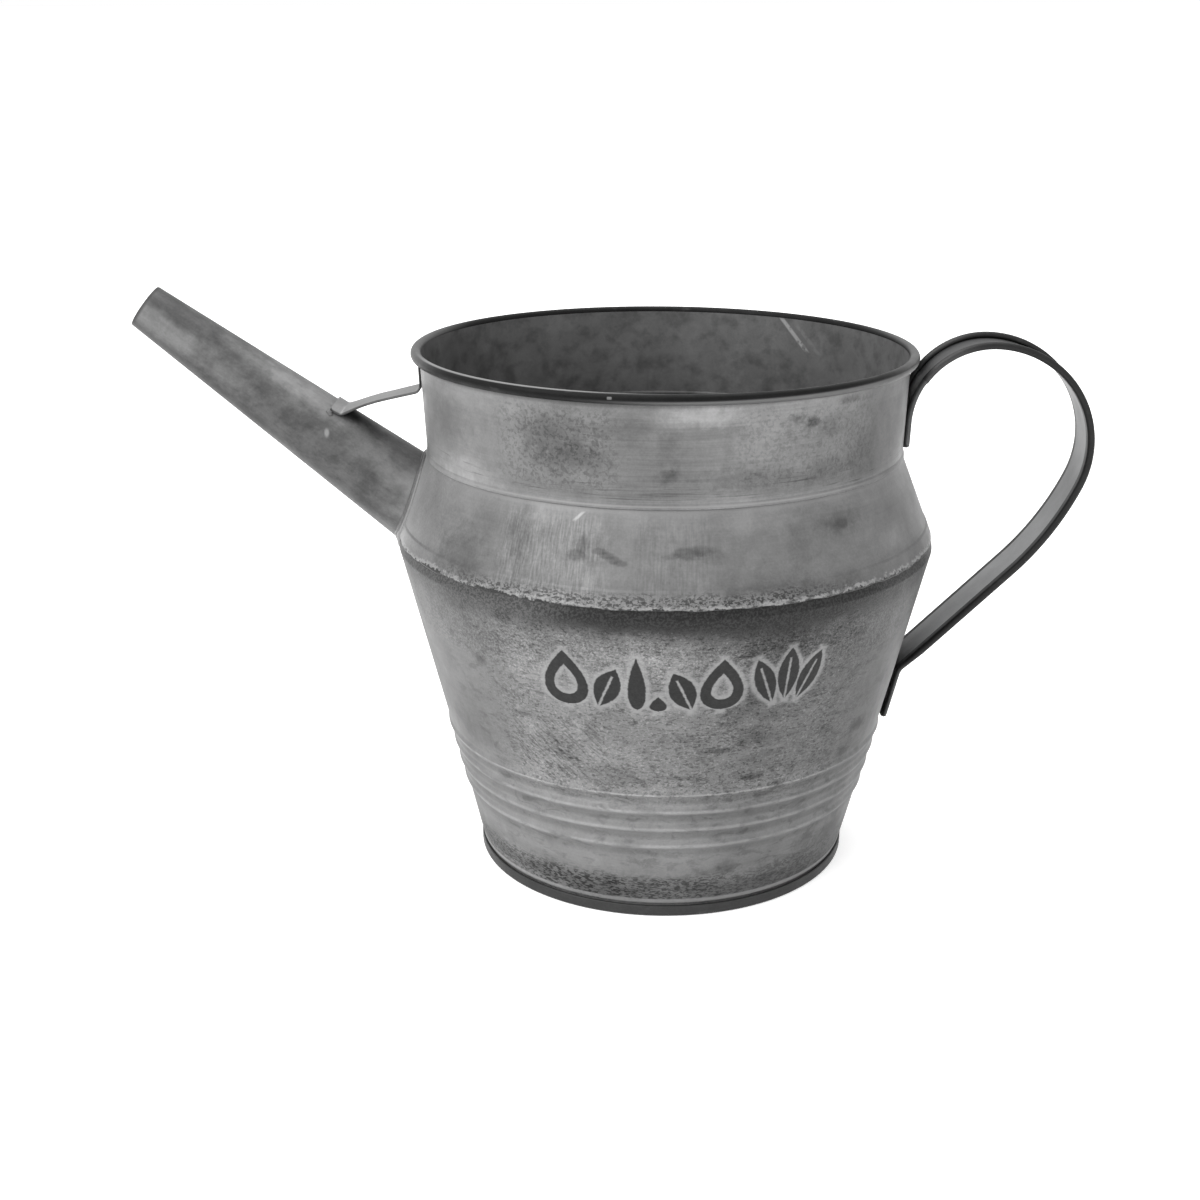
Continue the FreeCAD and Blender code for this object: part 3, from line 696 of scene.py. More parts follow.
def rib_lines(b, around, grey):
    """Light lines on the ribs, part wear on the crests and part painted highlight, a painted highlight over
    the hoop, and painted soft shade under each rib.
    """
    for k in range(RIB_COUNT):
        crest = RIB_FIRST + k * RIB_PITCH - 0.1
        top = k == RIB_COUNT - 1
        line = b.band(b.z, crest, 0.15, 0.45) if top else b.band(b.z, crest, 0.2, 0.9)
        line = line * b.ramp(b.noise(18, 2, 0.5, shift=50.0 + k), 0.28, 0.5)
        grey = grey + line * b.ramp(around, 70, 40) * b.ahead(40, 10) * (0.13 if top else 0.10)
        # painted shade under each rib and painted light on its upper side
        grey = grey - 0.05 * b.band(b.z, crest - 2.6, 0.3, 1.8) + 0.025 * b.band(b.z, crest + 1.8, 0.4, 1.5)
    grey = grey + 0.03 * b.band(b.z, 22, 0.8, 2.5) * b.ramp(around, 10, -30) * b.ahead(40, 10)
    # painted highlight over the hoop, where the skirt's flare catches the light, wider on the left
    grey = b.mix(grey, 0.61, b.band(b.z, 5.9, 0.5, 0.7) * 0.8)
    return grey + 0.10 * b.band(b.z, 7.4, 1.0, 1.6) * b.ramp(around, -18, -42) * b.ahead(40, 10)


def painted_row(b, around, grey):
    """The stencilled row inside a light halo of thin paint.  Gives the paint's cover too."""
    away = stencil(b, around) + b.drift(1.2, 2, 0.5, shift=70.0) * 0.7
    halo = b.ramp(away, 2.6, 0.9)
    ink = b.ramp(away, 0.35, -0.2)
    grey = b.mix(grey, 0.66, halo * 0.68)
    return b.mix(grey, 0.175 + 0.12 * b.drift(1.4, 2, 0.6, shift=71.0), ink * 0.96), ink


def lower_paint():
    """The ribbed cone, with painted side light: crazed patina, painted shade and patina under the belly,
    grime above the hoop, light crests of wear and painted highlight.
    """
    b = Brush("zinc_lower")
    around = b.turn()
    # painted side light: lighter on the left and darker towards the right
    grey = b.round_tone(around, (-80, 0.46), (-60, 0.49), (-45, 0.49), (-30, 0.50), (-15, 0.52), (0, 0.51),
                        (12, 0.45), (25, 0.405), (45, 0.405), (60, 0.42), (75, 0.45))
    # by height: darker near the hoop, and darker under the belly as painted shade
    level = b.stops(b.z, 0, 125, ((4, 0.44), (9, 0.47), (17, 0.52), (27, 0.535), (40, 0.515), (50, 0.50),
                                  (62, 0.475), (80, 0.48), (95, 0.475), (103, 0.455), (110, 0.42),
                                  (117, 0.36)))
    grey = grey + (level - 0.5) + zinc_layers(b) - stains(b, around, LOWER_STAINS)
    grey, sunk = crazed_patch(b, around, grey)
    grey = belly_shade_and_patina(b, around, grey)
    grey = foot_grime(b, around, grey)
    grey = rib_lines(b, around, grey)
    grey, ink = painted_row(b, around, grey)
    return b.finish(grey, zinc_rough(b, 0.55) + 0.1 * ink, zinc_relief(b) + sunk + 0.02 * ink)


def ragged_hem(b, around, grey):
    """A light edge that wanders on the left, crumbs above it and shade below.  Gives the relief too."""
    left = b.ramp(around, -18, -32) * b.ahead(60, 30)
    sway = b.drift(11, 3, 0.6, shift=35.0) * (1.4 + 3.0 * left)
    line = 122.1 - 0.6 * b.band(around, 8, 20, 15) + sway + b.drift(1.3, 2, 0.6, shift=23.0) * 3.2
    crumbs = flecks(b, 0.95, 0.48, 34.0, (1.3, 1.3, 0.8))
    rubble = b.band(b.z + b.drift(6, 3, 0.6, shift=32.0) * 4, 122.6, 1.2, 3.6) * b.band(around, -6, 26, 26)
    grey = grey - (crumbs - 0.30) * 0.24 * rubble
    bright = b.band(b.z, line + 0.5, 0.35, 0.6) * b.ramp(b.noise(3, 3, 0.6, shift=36.0), 0.35, 0.55)
    grey = b.mix(grey, 0.66, bright * 0.85)
    return b.mix(grey, 0.20, b.ramp(b.z - line, 0.25, -0.35) * 0.9), crumbs * 0.14 * rubble


def shoulder_paint():
    """The shoulder: lighter left of the middle as painted side light, with threads, a long scratch and a
    ragged hem.
    """
    b = Brush("zinc_shoulder")
    around = b.turn()
    # painted side light: lighter on the left
    grey = b.round_tone(around, (-70, 0.56), (-50, 0.53), (-40, 0.49), (-25, 0.49), (-10, 0.50), (2, 0.515),
                        (12, 0.50), (25, 0.48), (40, 0.475), (70, 0.50))
    level = b.stops(b.z, 120, 160, ((122, 0.46), (126, 0.48), (131, 0.515), (142, 0.50), (147, 0.535),
                                    (151, 0.56)))
    grey = grey + (level - 0.5) + zinc_layers(b, 2.0, 0.05)
    grey = grey - stains(b, around, SHOULDER_SPOTS, 0.35, 1.3) - stains(b, around, SHOULDER_CLOUDS)
    threads = b.drift(0.7, 2, 0.6, shift=33.0, place=b.join(around * 1.5, b.z / 9, 0.0))
    dust = b.drift(0.9, 2, 0.6, shift=28.0)
    combed = b.band(around, -24, 9, 7) + 0.5 * b.band(around, 2, 6, 5)
    grey = grey + (threads * 0.30 + dust * 0.10) * combed * b.band(b.z, 134, 10, 8)
    grey, proud = ragged_hem(b, around, grey)
    # scratch, and a soft painted highlight at the crease
    scratch = b.band(around * 1.5 - b.z, -175.4, 0.25, 0.75) * b.band(b.z, 148.2, 0.6, 1.5) * b.ahead(0, -20)
    grey = b.mix(grey, 0.74, scratch * (0.6 + 0.5 * b.noise(0.8, 2, 0.6, shift=36.5)))
    grey = b.mix(grey, 0.60, b.band(b.z, 150.6, 0.4, 0.8) * 0.4)
    # solder smeared round the spout's root, lightened further as painted highlight
    high = b.dot(UPSIDE, TIP)
    off = b.math("SQRT", high * high + b.y * b.y) - TIP_R - b.dot(AXIS, TIP) * SPOUT_TAPER
    smear = b.ramp(off + b.drift(5, 3, 0.6, shift=30.0) * 7, 19.0, 4.0) * b.ramp(b.x, -50, -70)
    grey = b.mix(grey, 0.70, smear * 0.9)
    grey = grey + dust * 0.12 * b.ramp(around, -44, -60) * b.ahead(60, 30)
    return b.finish(grey, zinc_rough(b, 0.5), zinc_relief(b) + proud)


def neck_paint():
    """The collar, with painted side light: soft blotches, short level scratches, a painted highlight along
    the lip at its foot and painted shade behind the brace's foot.
    """
    b = Brush("zinc_neck")
    around = b.turn()
    # painted side light: lighter on the left
    grey = b.round_tone(around, (-70, 0.57), (-50, 0.53), (-35, 0.485), (-20, 0.485), (0, 0.485), (12, 0.51),
                        (25, 0.51), (40, 0.49), (55, 0.455), (75, 0.45))
    level = b.stops(b.z, 148, 190, ((151, 0.55), (153.5, 0.53), (155.5, 0.49), (160, 0.49), (176, 0.50),
                                    (181, 0.54), (183.5, 0.56), (185, 0.45)))
    grey = grey + (level - 0.5) + zinc_layers(b, 4.0, 0.06) - stains(b, around, NECK_STAINS)
    mottle = flecks(b, 1.3, 0.50, 37.0)
    where = b.band(around, -24, 10, 8) + 0.7 * b.band(around, 34, 14, 10)
    grey = grey - (mottle - 0.4) * 0.08 * where * b.band(b.z, 170, 10, 6)
    lines = b.drift(6, 2, 0.6, stretch=(4, 4, 0.14), shift=38.0)
    grey = grey + lines * 0.10 * b.band(around, 8, 24, 12)
    cuts = flecks(b, 5, 0.60, 46.0, (3, 3, 0.10)) * b.band(b.z, 156.5, 2.4, 1.0)
    grey = grey - cuts * 0.12
    # painted highlight along the flared lip, where it faces up
    lip = b.band(b.z, 152.2, 0.12, 0.35) * b.ramp(b.noise(13, 2, 0.5, shift=39.0), 0.20, 0.45)
    grey = b.mix(grey, 0.66, lip * b.band(around, -5, 40, 35) * 0.6)
    # painted shade on the collar behind the brace's foot
    brace_foot_shade = b.band(around, -90, 2.0, 1.5) * b.band(b.z, 170, 5, 2)
    grey = b.mix(grey, 0.16, brace_foot_shade * 0.8)
    return b.finish(grey, zinc_rough(b, 0.5), zinc_relief(b))


def inside_paint():
    """The can's inner wall: darker, with painted shade deeper down, damp-stained, with a long scratch on the
    handle side.
    """
    b = Brush("zinc_inside")
    grey = 0.45 + 0.0005 * b.x + 0.14 * b.drift(34, 3, 0.6, shift=41.0)
    grey = grey + 0.17 * b.drift(9, 4, 0.62, shift=42.0, warp=0.7) + 0.05 * b.drift(0.9, 2, 0.6, shift=43.0)
    # painted shade: darker deeper in the can, and darker again near the top
    grey = grey - 0.06 * b.ramp(b.z, 165, 140) - 0.05 * b.ramp(b.z, 182, 196)
    damp = b.ramp(b.noise(5.5, 3, 0.55, stretch=(1.1, 1.1, 1), shift=43.5), 0.42, 0.72)
    grey = grey - 0.08 * (damp - 0.3) + 0.05 * b.band(b.z, 201, 0.8, 1.6)
    behind = b.ramp(b.y, 10, 30)
    slope = b.x + 0.81 * b.z
    scratch = b.band(slope, 195.5, 0.5, 0.8) * b.band(b.z, 179.5, 4.8, 2.0) * behind
    ghost = b.band(slope, 199.5, 0.4, 0.9) * b.band(b.z, 178, 4, 2.0) * behind
    torn = b.ramp(b.noise(2.5, 3, 0.6, shift=44.5), 0.3, 0.5)
    grey = b.mix(grey, 0.80, scratch * torn * 0.8)
    grey = b.mix(grey, 0.62, ghost * torn * 0.5)
    return b.finish(grey, 0.55 + 0.2 * b.drift(12, 2, 0.5, shift=44.0), zinc_relief(b, 0.6))


def rim_wear_and_glint(b, worn):
    """Where the rim is lighter, over its worn patches: its two ends, one bright dot in front as a painted
    glint, and its underside on the right.
    """
    ends = b.ramp(b.math("ABSOLUTE", b.x), 70, 86) * b.ramp(b.z, RIM_Z - 1.5, RIM_Z)
    # painted glint: one bright dot on the front of the rim
    bead = b.band(b.turn(), -10.8, 0.25, 0.4) * b.band(b.z, RIM_Z + 0.3, 0.15, 0.45)
    below = b.ramp(b.z, RIM_Z - 0.1, RIM_Z - 0.9) * b.ramp(b.turn(), -30, 8) * b.ahead(0, -25)
    return b.more(b.more(b.more(worn, bead * 1.6), ends * 0.8), below * 0.9)


def dark_paint(name, base=0.2, wear=0.42, shine=0.2, rim=False):
    """Patinated wire rolls and hoop, worn lighter in places, and on the rim a painted glint and a painted
    highlight along its top.
    """
    b = Brush(name)
    grey = base + 0.08 * b.drift(9, 3, 0.6, shift=45.0) + 0.06 * b.drift(0.8, 2, 0.6, shift=46.0)
    worn = b.ramp(b.noise(5, 3, 0.65, stretch=(2.5, 2.5, 1), shift=47.0), 0.60, 0.74) * 0.4
    grey = b.mix(grey, wear, rim_wear_and_glint(b, worn) if rim else worn)
    if rim:
        # painted highlight along the top of the rim's roll, strongest on the left
        rim_top = RIM_Z + ROLL_R
        crest = b.ramp(b.z, rim_top - 0.36, rim_top - 0.14) * b.ahead(-15, -40)
        grey = b.mix(grey, 0.60, crest * (0.35 + 0.65 * b.ramp(b.turn(), 8, -20)))
    handle_foot = 0.12 * b.ramp(b.x, 112, 100) * b.ramp(b.x, 88, 92) * b.ramp(b.z, 150, 160)
    handle_heel = 0.16 * b.ramp(b.x, 92, 84) * b.ramp(b.z, 84, 74) * b.ramp(b.z, 20, 30)
    grey = grey + handle_foot + handle_heel
    relief = b.noise(3, 3, 0.6, shift=48.0) * 0.04 + b.noise(0.6, 2, 0.5, shift=49.0) * 0.015
    return b.finish(grey, 0.5 + 0.2 * b.drift(6, 2, 0.5, shift=50.0), relief, shine=shine)


def distance_from(b, centre, stretch):
    """Distance from a point, with each axis shrunk by its stretch."""
    x, y, z = ((part - mid) / size for part, mid, size in zip((b.x, b.y, b.z), centre, stretch))
    return b.math("SQRT", x * x + y * y + z * z)


def spout_paint():
    """Spout sheet: a light streak along its side as painted highlight, painted shade below, painted light on
    top near the root, and a painted shadow under the brace.
    """
    b = Brush("zinc_spout")
    along = b.dot(AXIS, TIP)
    high = b.dot(UPSIDE, TIP)
    grey = 0.415 + zinc_layers(b, 6.0, 0.0)
    grain = b.drift(1.2, 3, 0.6, shift=51.0, place=b.join(along / 9, high, b.y))
    stray = b.drift(12, 3, 0.6, shift=53.0) * 8
    # painted shade on the underside, deeper near the tip
    grey = grey + 0.09 * grain - 0.07 * b.ramp(high, -4, -9)
    grey = grey - 0.10 * b.ramp(high + stray * 0.4, -1, -6) * b.ramp(along, 62, 40)
    # painted light: lighter towards the root, against the shade of the collar
    grey = grey + 0.10 * b.ramp(along + stray, 96, 116) + 0.06 * b.ramp(along + stray * 0.5, 110, 117)
    # painted highlight: the light streak along the side near the tip
    grey = grey + 0.09 * b.band(high + stray, 0, 2.5, 3.5) * b.ramp(along, 32, 14)
    grey = grey - 0.06 * b.band(high + stray, 7, 1.5, 2.5) * b.ramp(along, 34, 24)
    grey = grey + 0.09 * b.ramp(high + stray, 4.5, 9.0) * b.band(along, 62, 14, 14)
    # painted shade on the lower side towards the root
    grey = grey - 0.07 * b.ramp(high + stray, 5.0, 0.0) * b.ramp(along, 42, 58)
    blots = b.ramp(b.noise(6, 4, 0.6, stretch=(1.4, 1, 1), shift=52.0), 0.38, 0.68)
    grey = grey - 0.09 * (blots - 0.4) * b.ramp(along, 8, 30)
    drip = distance_from(b, (-118.7, -12.4, 158.6), (1, 1, 2.0))
    grey = b.mix(grey, 0.66, b.ramp(drip, 1.25, 0.4) * 0.9)
    # painted shadow cast by the brace on the spout's top
    climb = high - 0.22 * (along - 80) + b.drift(6, 3, 0.6, shift=54.0) * 3
    brace_shadow = b.ramp(along, 76, 79) * b.ramp(along, 104, 88) * b.ramp(climb, 10.6, 13.0)
    # painted light on the top near the root
    grey = grey + 0.11 * b.ramp(high, 0, 9) * b.ramp(along, 84, 99)
    grey = b.mix(grey, 0.15, brace_shadow * 0.9)
    grey = b.mix(grey, 0.22, b.ramp(along, 1.6, 0.3) * 0.7)
    return b.finish(grey, zinc_rough(b, 0.5), zinc_relief(b, 0.6))


def strip_paint(name, base, grain=0.08, collar_shade=0.0):
    """Newer, lighter zinc, with painted shade on its edges where it stands against the collar."""
    b = Brush(name)
    grey = base + grain * b.drift(6, 3, 0.6, shift=55.0) + grain * b.drift(0.8, 2, 0.6, shift=56.0)
    # painted shade on the foot, where it stands against the collar
    if collar_shade:
        grey = b.mix(grey, 0.20, b.ramp(b.z, 173.4, 175.0) * collar_shade)
    relief = b.noise(4, 3, 0.6, shift=57.0) * 0.08 + b.noise(0.7, 2, 0.5, shift=58.0) * 0.02
    return b.finish(grey, 0.45 + 0.2 * b.drift(5, 2, 0.5, shift=59.0), relief)


def web_paint(name, base):
    """The handle's flat web: smooth zinc, with painted light from the floor in its lower middle, darker near
    the lower foot.
    """
    b = Brush(name)
    grey = base + 0.10 * b.drift(25, 2, 0.5, shift=62.0) + 0.06 * b.drift(1.0, 2, 0.6, shift=63.0)
    grey = grey + 0.07 * b.drift(6, 3, 0.6, shift=64.0)
    # painted light: lighter in the lower middle, lit from the floor below, and darker at the top
    grey = grey + 0.11 * b.band(b.z, 104, 16, 22) - 0.07 * b.ramp(b.z, 150, 175)
    grey = grey - 0.16 * b.ramp(b.z + b.drift(9, 3, 0.6, shift=67.0) * 14, 80, 66)
    rough = 0.48 + 0.2 * b.drift(9, 2, 0.5, shift=65.0)
    return b.finish(grey, rough, zinc_relief(b, 0.5), tint=(0.99, 1.0, 1.01))


def make_paints():
    return {
        "lower": lower_paint(),
        "shoulder": shoulder_paint(),
        "neck": neck_paint(),
        "inside": inside_paint(),
        "rim": dark_paint("dark_rim", 0.115, 0.48, rim=True),
        "hoop": dark_paint("dark_hoop", 0.27, 0.42, shine=0.4),
        "spout": spout_paint(),
        "strip": strip_paint("light_strip", 0.58),
        # the brace's edges: a darker copy of the strip, as painted shade
        "strip_edge": strip_paint("light_strip_shaded_edge", 0.36, collar_shade=0.85),
        "solder": strip_paint("soft_solder", 0.46, 0.16),
        "web": web_paint("zinc_handle", 0.55),
        "web_back": web_paint("zinc_handle_back", 0.40),
        "roll": dark_paint("dark_roll", 0.17, 0.30, shine=0.38),
    }


# ---------- body pieces ----------

def lower_shell(paints):
    """Ribbed cone with a rolled belly and a flange that turns in under the shoulder."""
    heights = [CONE_START]
    for k in range(RIB_COUNT):
        middle = RIB_FIRST + k * RIB_PITCH
        heights += list(np.linspace(middle - RIB_HALF, middle + RIB_HALF, 15))
    heights.append(BELLY_Z - 2.2)
    cone = divided(np.array([[cone_r(z), z] for z in heights]), 2.0)
    for k in range(RIB_COUNT):
        off = (cone[:, 1] - RIB_FIRST - k * RIB_PITCH) / RIB_HALF
        cone[:, 0] += np.where(np.abs(off) < 1, RIB_RISE * np.cos(off * math.pi / 2) ** 2, 0)
    belly = rounded([(*cone[-1], 0), (BELLY_R + 0.02, BELLY_Z, 1.3),
                     (shoulder_r(HEM_LOW) - GAUGE, HEM_LOW, 0.6),
                     (shoulder_r(FLANGE_TOP) - GAUGE, FLANGE_TOP, 0)])
    skirt_end = CONE_START + 2
    skirt = rounded([(SKIRT_R, HOOP_FLOOR, 0), (SKIRT_R, HOOP_TOP + 0.4, 0.5),
                     (cone_r(CONE_START), CONE_START, 0.5), (cone_r(skirt_end), skirt_end, 0)])
    outer = np.concatenate([skirt[:-1], cone[cone[:, 1] > skirt_end], belly[1:]])
    outline = sheet_outline(outer, GAUGE, -1)
    kinds = inner_rows(outline, outer)

    def shape(angle, radius, z):
        return as_made(angle, radius, z, cone_r(z), low=6, high=117), z

    coats = [paints["lower"], paints["inside"]]
    return turned("lower_shell", outline, coats, kinds, shape)


def spout_hole(piece):
    """Cut the spout's hole with a short drum that stands square to the shoulder."""
    lean = math.atan(SHOULDER_SLOPE)
    out = np.array([-math.cos(lean), 0, math.sin(lean)])
    centre = np.array([-shoulder_r(SPOUT_HOLE_Z), 0, SPOUT_HOLE_Z])
    upright = np.array([math.sin(lean), 0, math.cos(lean)])
    side = np.array([0, 1.0, 0])
    spokes = 64
    turns = full_turn(spokes)[None, :, None]
    ring = SPOUT_HOLE_R * (np.cos(turns) * upright + np.sin(turns) * side)
    points = centre + ring + out * np.array([-6.0, 6.0])[:, None, None]
    drum = make_piece("hole_drum", points, lattice(2, spokes, False, True) + end_caps(2, spokes), [])
    cut = piece.modifiers.new("spout_hole", "BOOLEAN")
    cut.object = drum
    cut.solver = "EXACT"
    graph = bpy.context.evaluated_depsgraph_get()
    holed = bpy.data.meshes.new_from_object(piece.evaluated_get(graph))
    piece.modifiers.clear()
    piece.data = holed
    bpy.data.objects.remove(drum)


def shoulder_shell(paints):
    """Cone that narrows upward, with a doubled hem at its foot and a lip inside the neck."""
    hem = [(shoulder_r(HEM_LOW) - 0.1, HEM_LOW, 0),
           (shoulder_r(HEM_LOW + 0.9) + HEM_PROUD, HEM_LOW + 0.5, 0.5),
           (shoulder_r(HEM_TOP) + HEM_PROUD, HEM_TOP - 0.3, 0.4),
           (shoulder_r(HEM_TOP + 0.4), HEM_TOP + 0.4, 0.5)]
    rise = [(CREASE_R, CREASE_Z, 0.8), (LIP_R, NECK_START, 0.8), (LIP_R, LIP_TOP, 0)]
    outer = divided(rounded(hem + rise), 2.0)
    outline = sheet_outline(outer, GAUGE, -1)
    kinds = inner_rows(outline, outer)

    def shape(angle, radius, z):
        ragged = np.clip((HEM_TOP - z) / (HEM_TOP - HEM_LOW), 0, 1)
        wave = np.sin(23 * angle) + np.sin(41 * angle + 1) + np.sin(67 * angle + 2)
        lifted = z + 0.09 * (wave + 3) * (z < HEM_LOW + 1.0)
        made = as_made(angle, radius, z, shoulder_r(z), low=128, high=150)
        return made - 0.05 * ragged * (wave + 3), lifted

    piece = lathe("shoulder_shell_skin", outline, [paints["shoulder"], paints["inside"]], kinds, shape)
    spout_hole(piece)
    return belongs(piece, "shoulder_shell")


def neck_collar(paints):
    """Collar with a flared foot, rolled outward over the rim wire."""
    wall = rounded([(NECK_LIP_R - GAUGE, NECK_LOW, 0), (NECK_R - GAUGE, NECK_START, 1.5),
                    (neck_r(RIM_Z - 0.3) - GAUGE, RIM_Z - 0.3, 0)])
    turns = np.radians(np.linspace(178, -128, 34))
    curl = np.stack([RIM_R + ROLL_R * np.cos(turns), RIM_Z + ROLL_R * np.sin(turns)], -1)
    face = np.concatenate([divided(wall[:-1], 2.0), curl])
    outline = sheet_outline(face, GAUGE, 1)
    curl_start = len(face) - len(curl)
    kinds = np.zeros(len(outline), int)
    kinds[:curl_start] = 1
    kinds[curl_start:len(face) + len(curl)] = 2

    def shape(angle, radius, z):
        return as_made(angle, radius, z, neck_r(z), low=155, high=182), z - rim_sag(angle, z)

    coats = [paints["neck"], paints["inside"], paints["rim"]]
    return turned("neck_collar", outline, coats, kinds, shape)


def rim_wire(paints):
    """The wire that stiffens the rim."""
    wire_r = 1.12
    turns = full_turn(16)
    outline = np.stack([RIM_R + wire_r * np.cos(turns), RIM_Z + wire_r * np.sin(turns)], -1)

    def shape(angle, radius, z):
        return radius + askew(angle, RIM_Z), z - rim_sag(angle, RIM_Z)

    return turned("rim_wire", outline, [paints["rim"]], None, shape)


def base_disc(paints):
    """Flat bottom with its flange turned down inside the skirt."""
    edge = SKIRT_R - GAUGE
    under = DISC_TOP - GAUGE
    rings = (0, 12, 24, 36, 48, 58)
    corners = [(r, under, 0) for r in rings]
    corners += [(edge - GAUGE, under, 0.3), (edge - GAUGE, HOOP_FLOOR, 0), (edge, HOOP_FLOOR, 0),
                (edge, DISC_TOP, 0.5)]
    corners += [(r, DISC_TOP, 0) for r in rings[::-1]]
    outline = rounded(corners)

    def shape(angle, radius, z):
        dished_r = 60
        dish = np.where(radius < dished_r, 0.25 * np.cos(radius / dished_r * math.pi / 2), 0)
        return radius + askew(angle, z) * radius / SKIRT_R, z - dish * (z > HOOP_FLOOR + 0.5)

    return turned("base_disc", outline, [paints["inside"]], None, shape)


def base_hoop(paints):
    """Channel that clamps the skirt and the disc's flange."""
    groove = SKIRT_R - 2 * GAUGE
    bore = groove - HOOP_WALL
    under = DISC_TOP - GAUGE
    corners = [(bore, 0, 0.4), (HOOP_R, 0, 0.8), (HOOP_R, HOOP_TOP, 0.45), (SKIRT_R, HOOP_TOP, 0.15),
               (SKIRT_R, HOOP_FLOOR, 0), (groove, HOOP_FLOOR, 0), (groove, under, 0.1), (bore, under, 0.3)]

    def shape(angle, radius, z):
        return radius + askew(angle, z), z

    return turned("base_hoop", rounded(corners, True), [paints["hoop"]], None, shape)


# ---------- spout ----------

AXIS = np.array([math.cos(SPOUT_DIP), 0, -math.sin(SPOUT_DIP)])
UPSIDE = np.array([math.sin(SPOUT_DIP), 0, math.cos(SPOUT_DIP)])
ASIDE = np.array([0, 1.0, 0])


def on_spout(along, turn, proud=0.0):
    """Point at a distance from the tip and an angle from the spout's top, proud of its outside."""
    along, turn, proud = np.broadcast_arrays(*map(np.asarray, (along, turn, proud)))
    radius = TIP_R + SPOUT_TAPER * along + proud
    spoke = np.cos(turn)[..., None] * UPSIDE + np.sin(turn)[..., None] * ASIDE
    return TIP + along[..., None] * AXIS + radius[..., None] * spoke


def root_along(turn, proud, lift):
    """Distance from the tip at which a line on the spout comes within lift of the body."""
    low = np.full(np.shape(turn), 60.0)
    high = np.full(np.shape(turn), SPOUT_RUN)
    for _ in range(40):
        middle = (low + high) / 2
        p = on_spout(middle, turn, proud)
        round_can = np.arctan2(p[..., 1], p[..., 0])
        body = seat_r(p[..., 2], lift) + askew(round_can, p[..., 2])
        outside = np.hypot(p[..., 0], p[..., 1]) > body
        low = np.where(outside, middle, low)
        high = np.where(outside, high, middle)
    return low


def spout_tube(paints):
    """Tapered tube with a rounded tip edge, trimmed to the body."""
    turn = full_turn(128)
    seam = 0.25 * np.clip(1 - np.abs(turn - math.pi) * 12 / 2.2, 0, 1)
    outer_end = root_along(turn, 0.0, 0.0)
    inner_end = root_along(turn, -GAUGE, 0.0)
    shares = np.linspace(0, 1, 61)
    brink = 0.35                # the walls start this far from the rounded tip
    rows = [on_spout(brink, turn, seam)]
    for share in shares[1:]:
        rows.append(on_spout(0.5 + share * (outer_end - 0.5), turn, seam * (share < 0.99)))
    outer_count = len(rows)
    for share in shares[::-1]:
        rows.append(on_spout(brink + share * (inner_end - brink), turn, -GAUGE))
    rows.append(on_spout(0.0, turn, -GAUGE * 0.75))
    rows.append(on_spout(0.0, turn, -GAUGE * 0.25))
    count = len(rows)
    faces = lattice(count, turn.size, True, True)
    which = np.repeat([0 if r < outer_count or r > count - 3 else 1 for r in range(count)], turn.size)
    piece = make_piece("spout_tube_skin", np.stack(rows), faces, [paints["spout"], paints["inside"]], which)
    return belongs(piece, "spout_tube")


def root_band(name, section, paint, wander=0.0):
    """Strip round the spout's root.  section gives (distance off the spout, height over the body)."""
    turn = full_turn(160)
    draw = np.random.default_rng(SEED + 1)
    swing = 0
    for count in (3, 5, 8, 13, 21):
        size = draw.uniform(0.4, 1)
        swing = swing + size * np.sin(count * turn + draw.uniform(0, 6.28))
    rows = []
    for off, lift in section:
        grown = off + swing * wander * (off > 0.3)
        along = root_along(turn, grown, lift)
        rows.append(on_spout(along, turn, grown))
    return make_piece(name, np.stack(rows), lattice(len(rows), turn.size, True, True), [paint])


def spout_flange(paints):
    """Light band that stands on the shoulder round the spout."""
    section = ((0.02, -0.7), (1.2, -0.7), (2.1, -0.7), (2.2, 0.1), (2.05, 0.45), (1.4, 0.62), (0.6, 0.7),
               (0.02, 0.7))
    piece = root_band("spout_flange_skin", section, paints["strip"], 0.05)
    return belongs(piece, "spout_flange")


def spout_solder(paints):
    """Solder bead in the corner between the band and the spout."""
    section = ((0.02, 0.72), (0.5, 0.72), (0.98, 0.74), (0.9, 0.95), (0.6, 1.12), (0.3, 1.3), (0.02, 1.4))
    piece = root_band("spout_solder_skin", section, paints["solder"], 0.06)
    return belongs(piece, "spout_solder")


# ---------- brace ----------

def thick_sheet(name, grid, gauge, paints, edge_steps=3):
    """Solid sheet about a grid of middle points.  Its rounded long edges take the second paint."""
    down = np.gradient(grid, axis=0)
    across = np.gradient(grid, axis=1)
    normal = unit(np.cross(down, across)) * gauge / 2
    outward = unit(across)
    turns = np.linspace(0, math.pi, edge_steps + 2)[1:-1]
    half = gauge / 2
    right = [grid[:, -1] + normal[:, -1] * math.cos(t) + outward[:, -1] * half * math.sin(t) for t in turns]
    left = [grid[:, 0] - normal[:, 0] * math.cos(t) - outward[:, 0] * half * math.sin(t) for t in turns]
    upper = np.moveaxis(grid + normal, 1, 0)
    lower = np.moveaxis(grid - normal, 1, 0)
    loop = [*upper, *right, *lower[::-1], *left]
    points = np.stack(loop, 1)
    rows, columns = points.shape[:2]
    faces = lattice(rows, columns, False, True) + end_caps(rows, columns)
    strip = [0] * (grid.shape[1] - 1) + [1] * (edge_steps + 1)
    which = (strip + strip) * (rows - 1) + [1, 1]
    return make_piece(name, points, faces, paints, which)


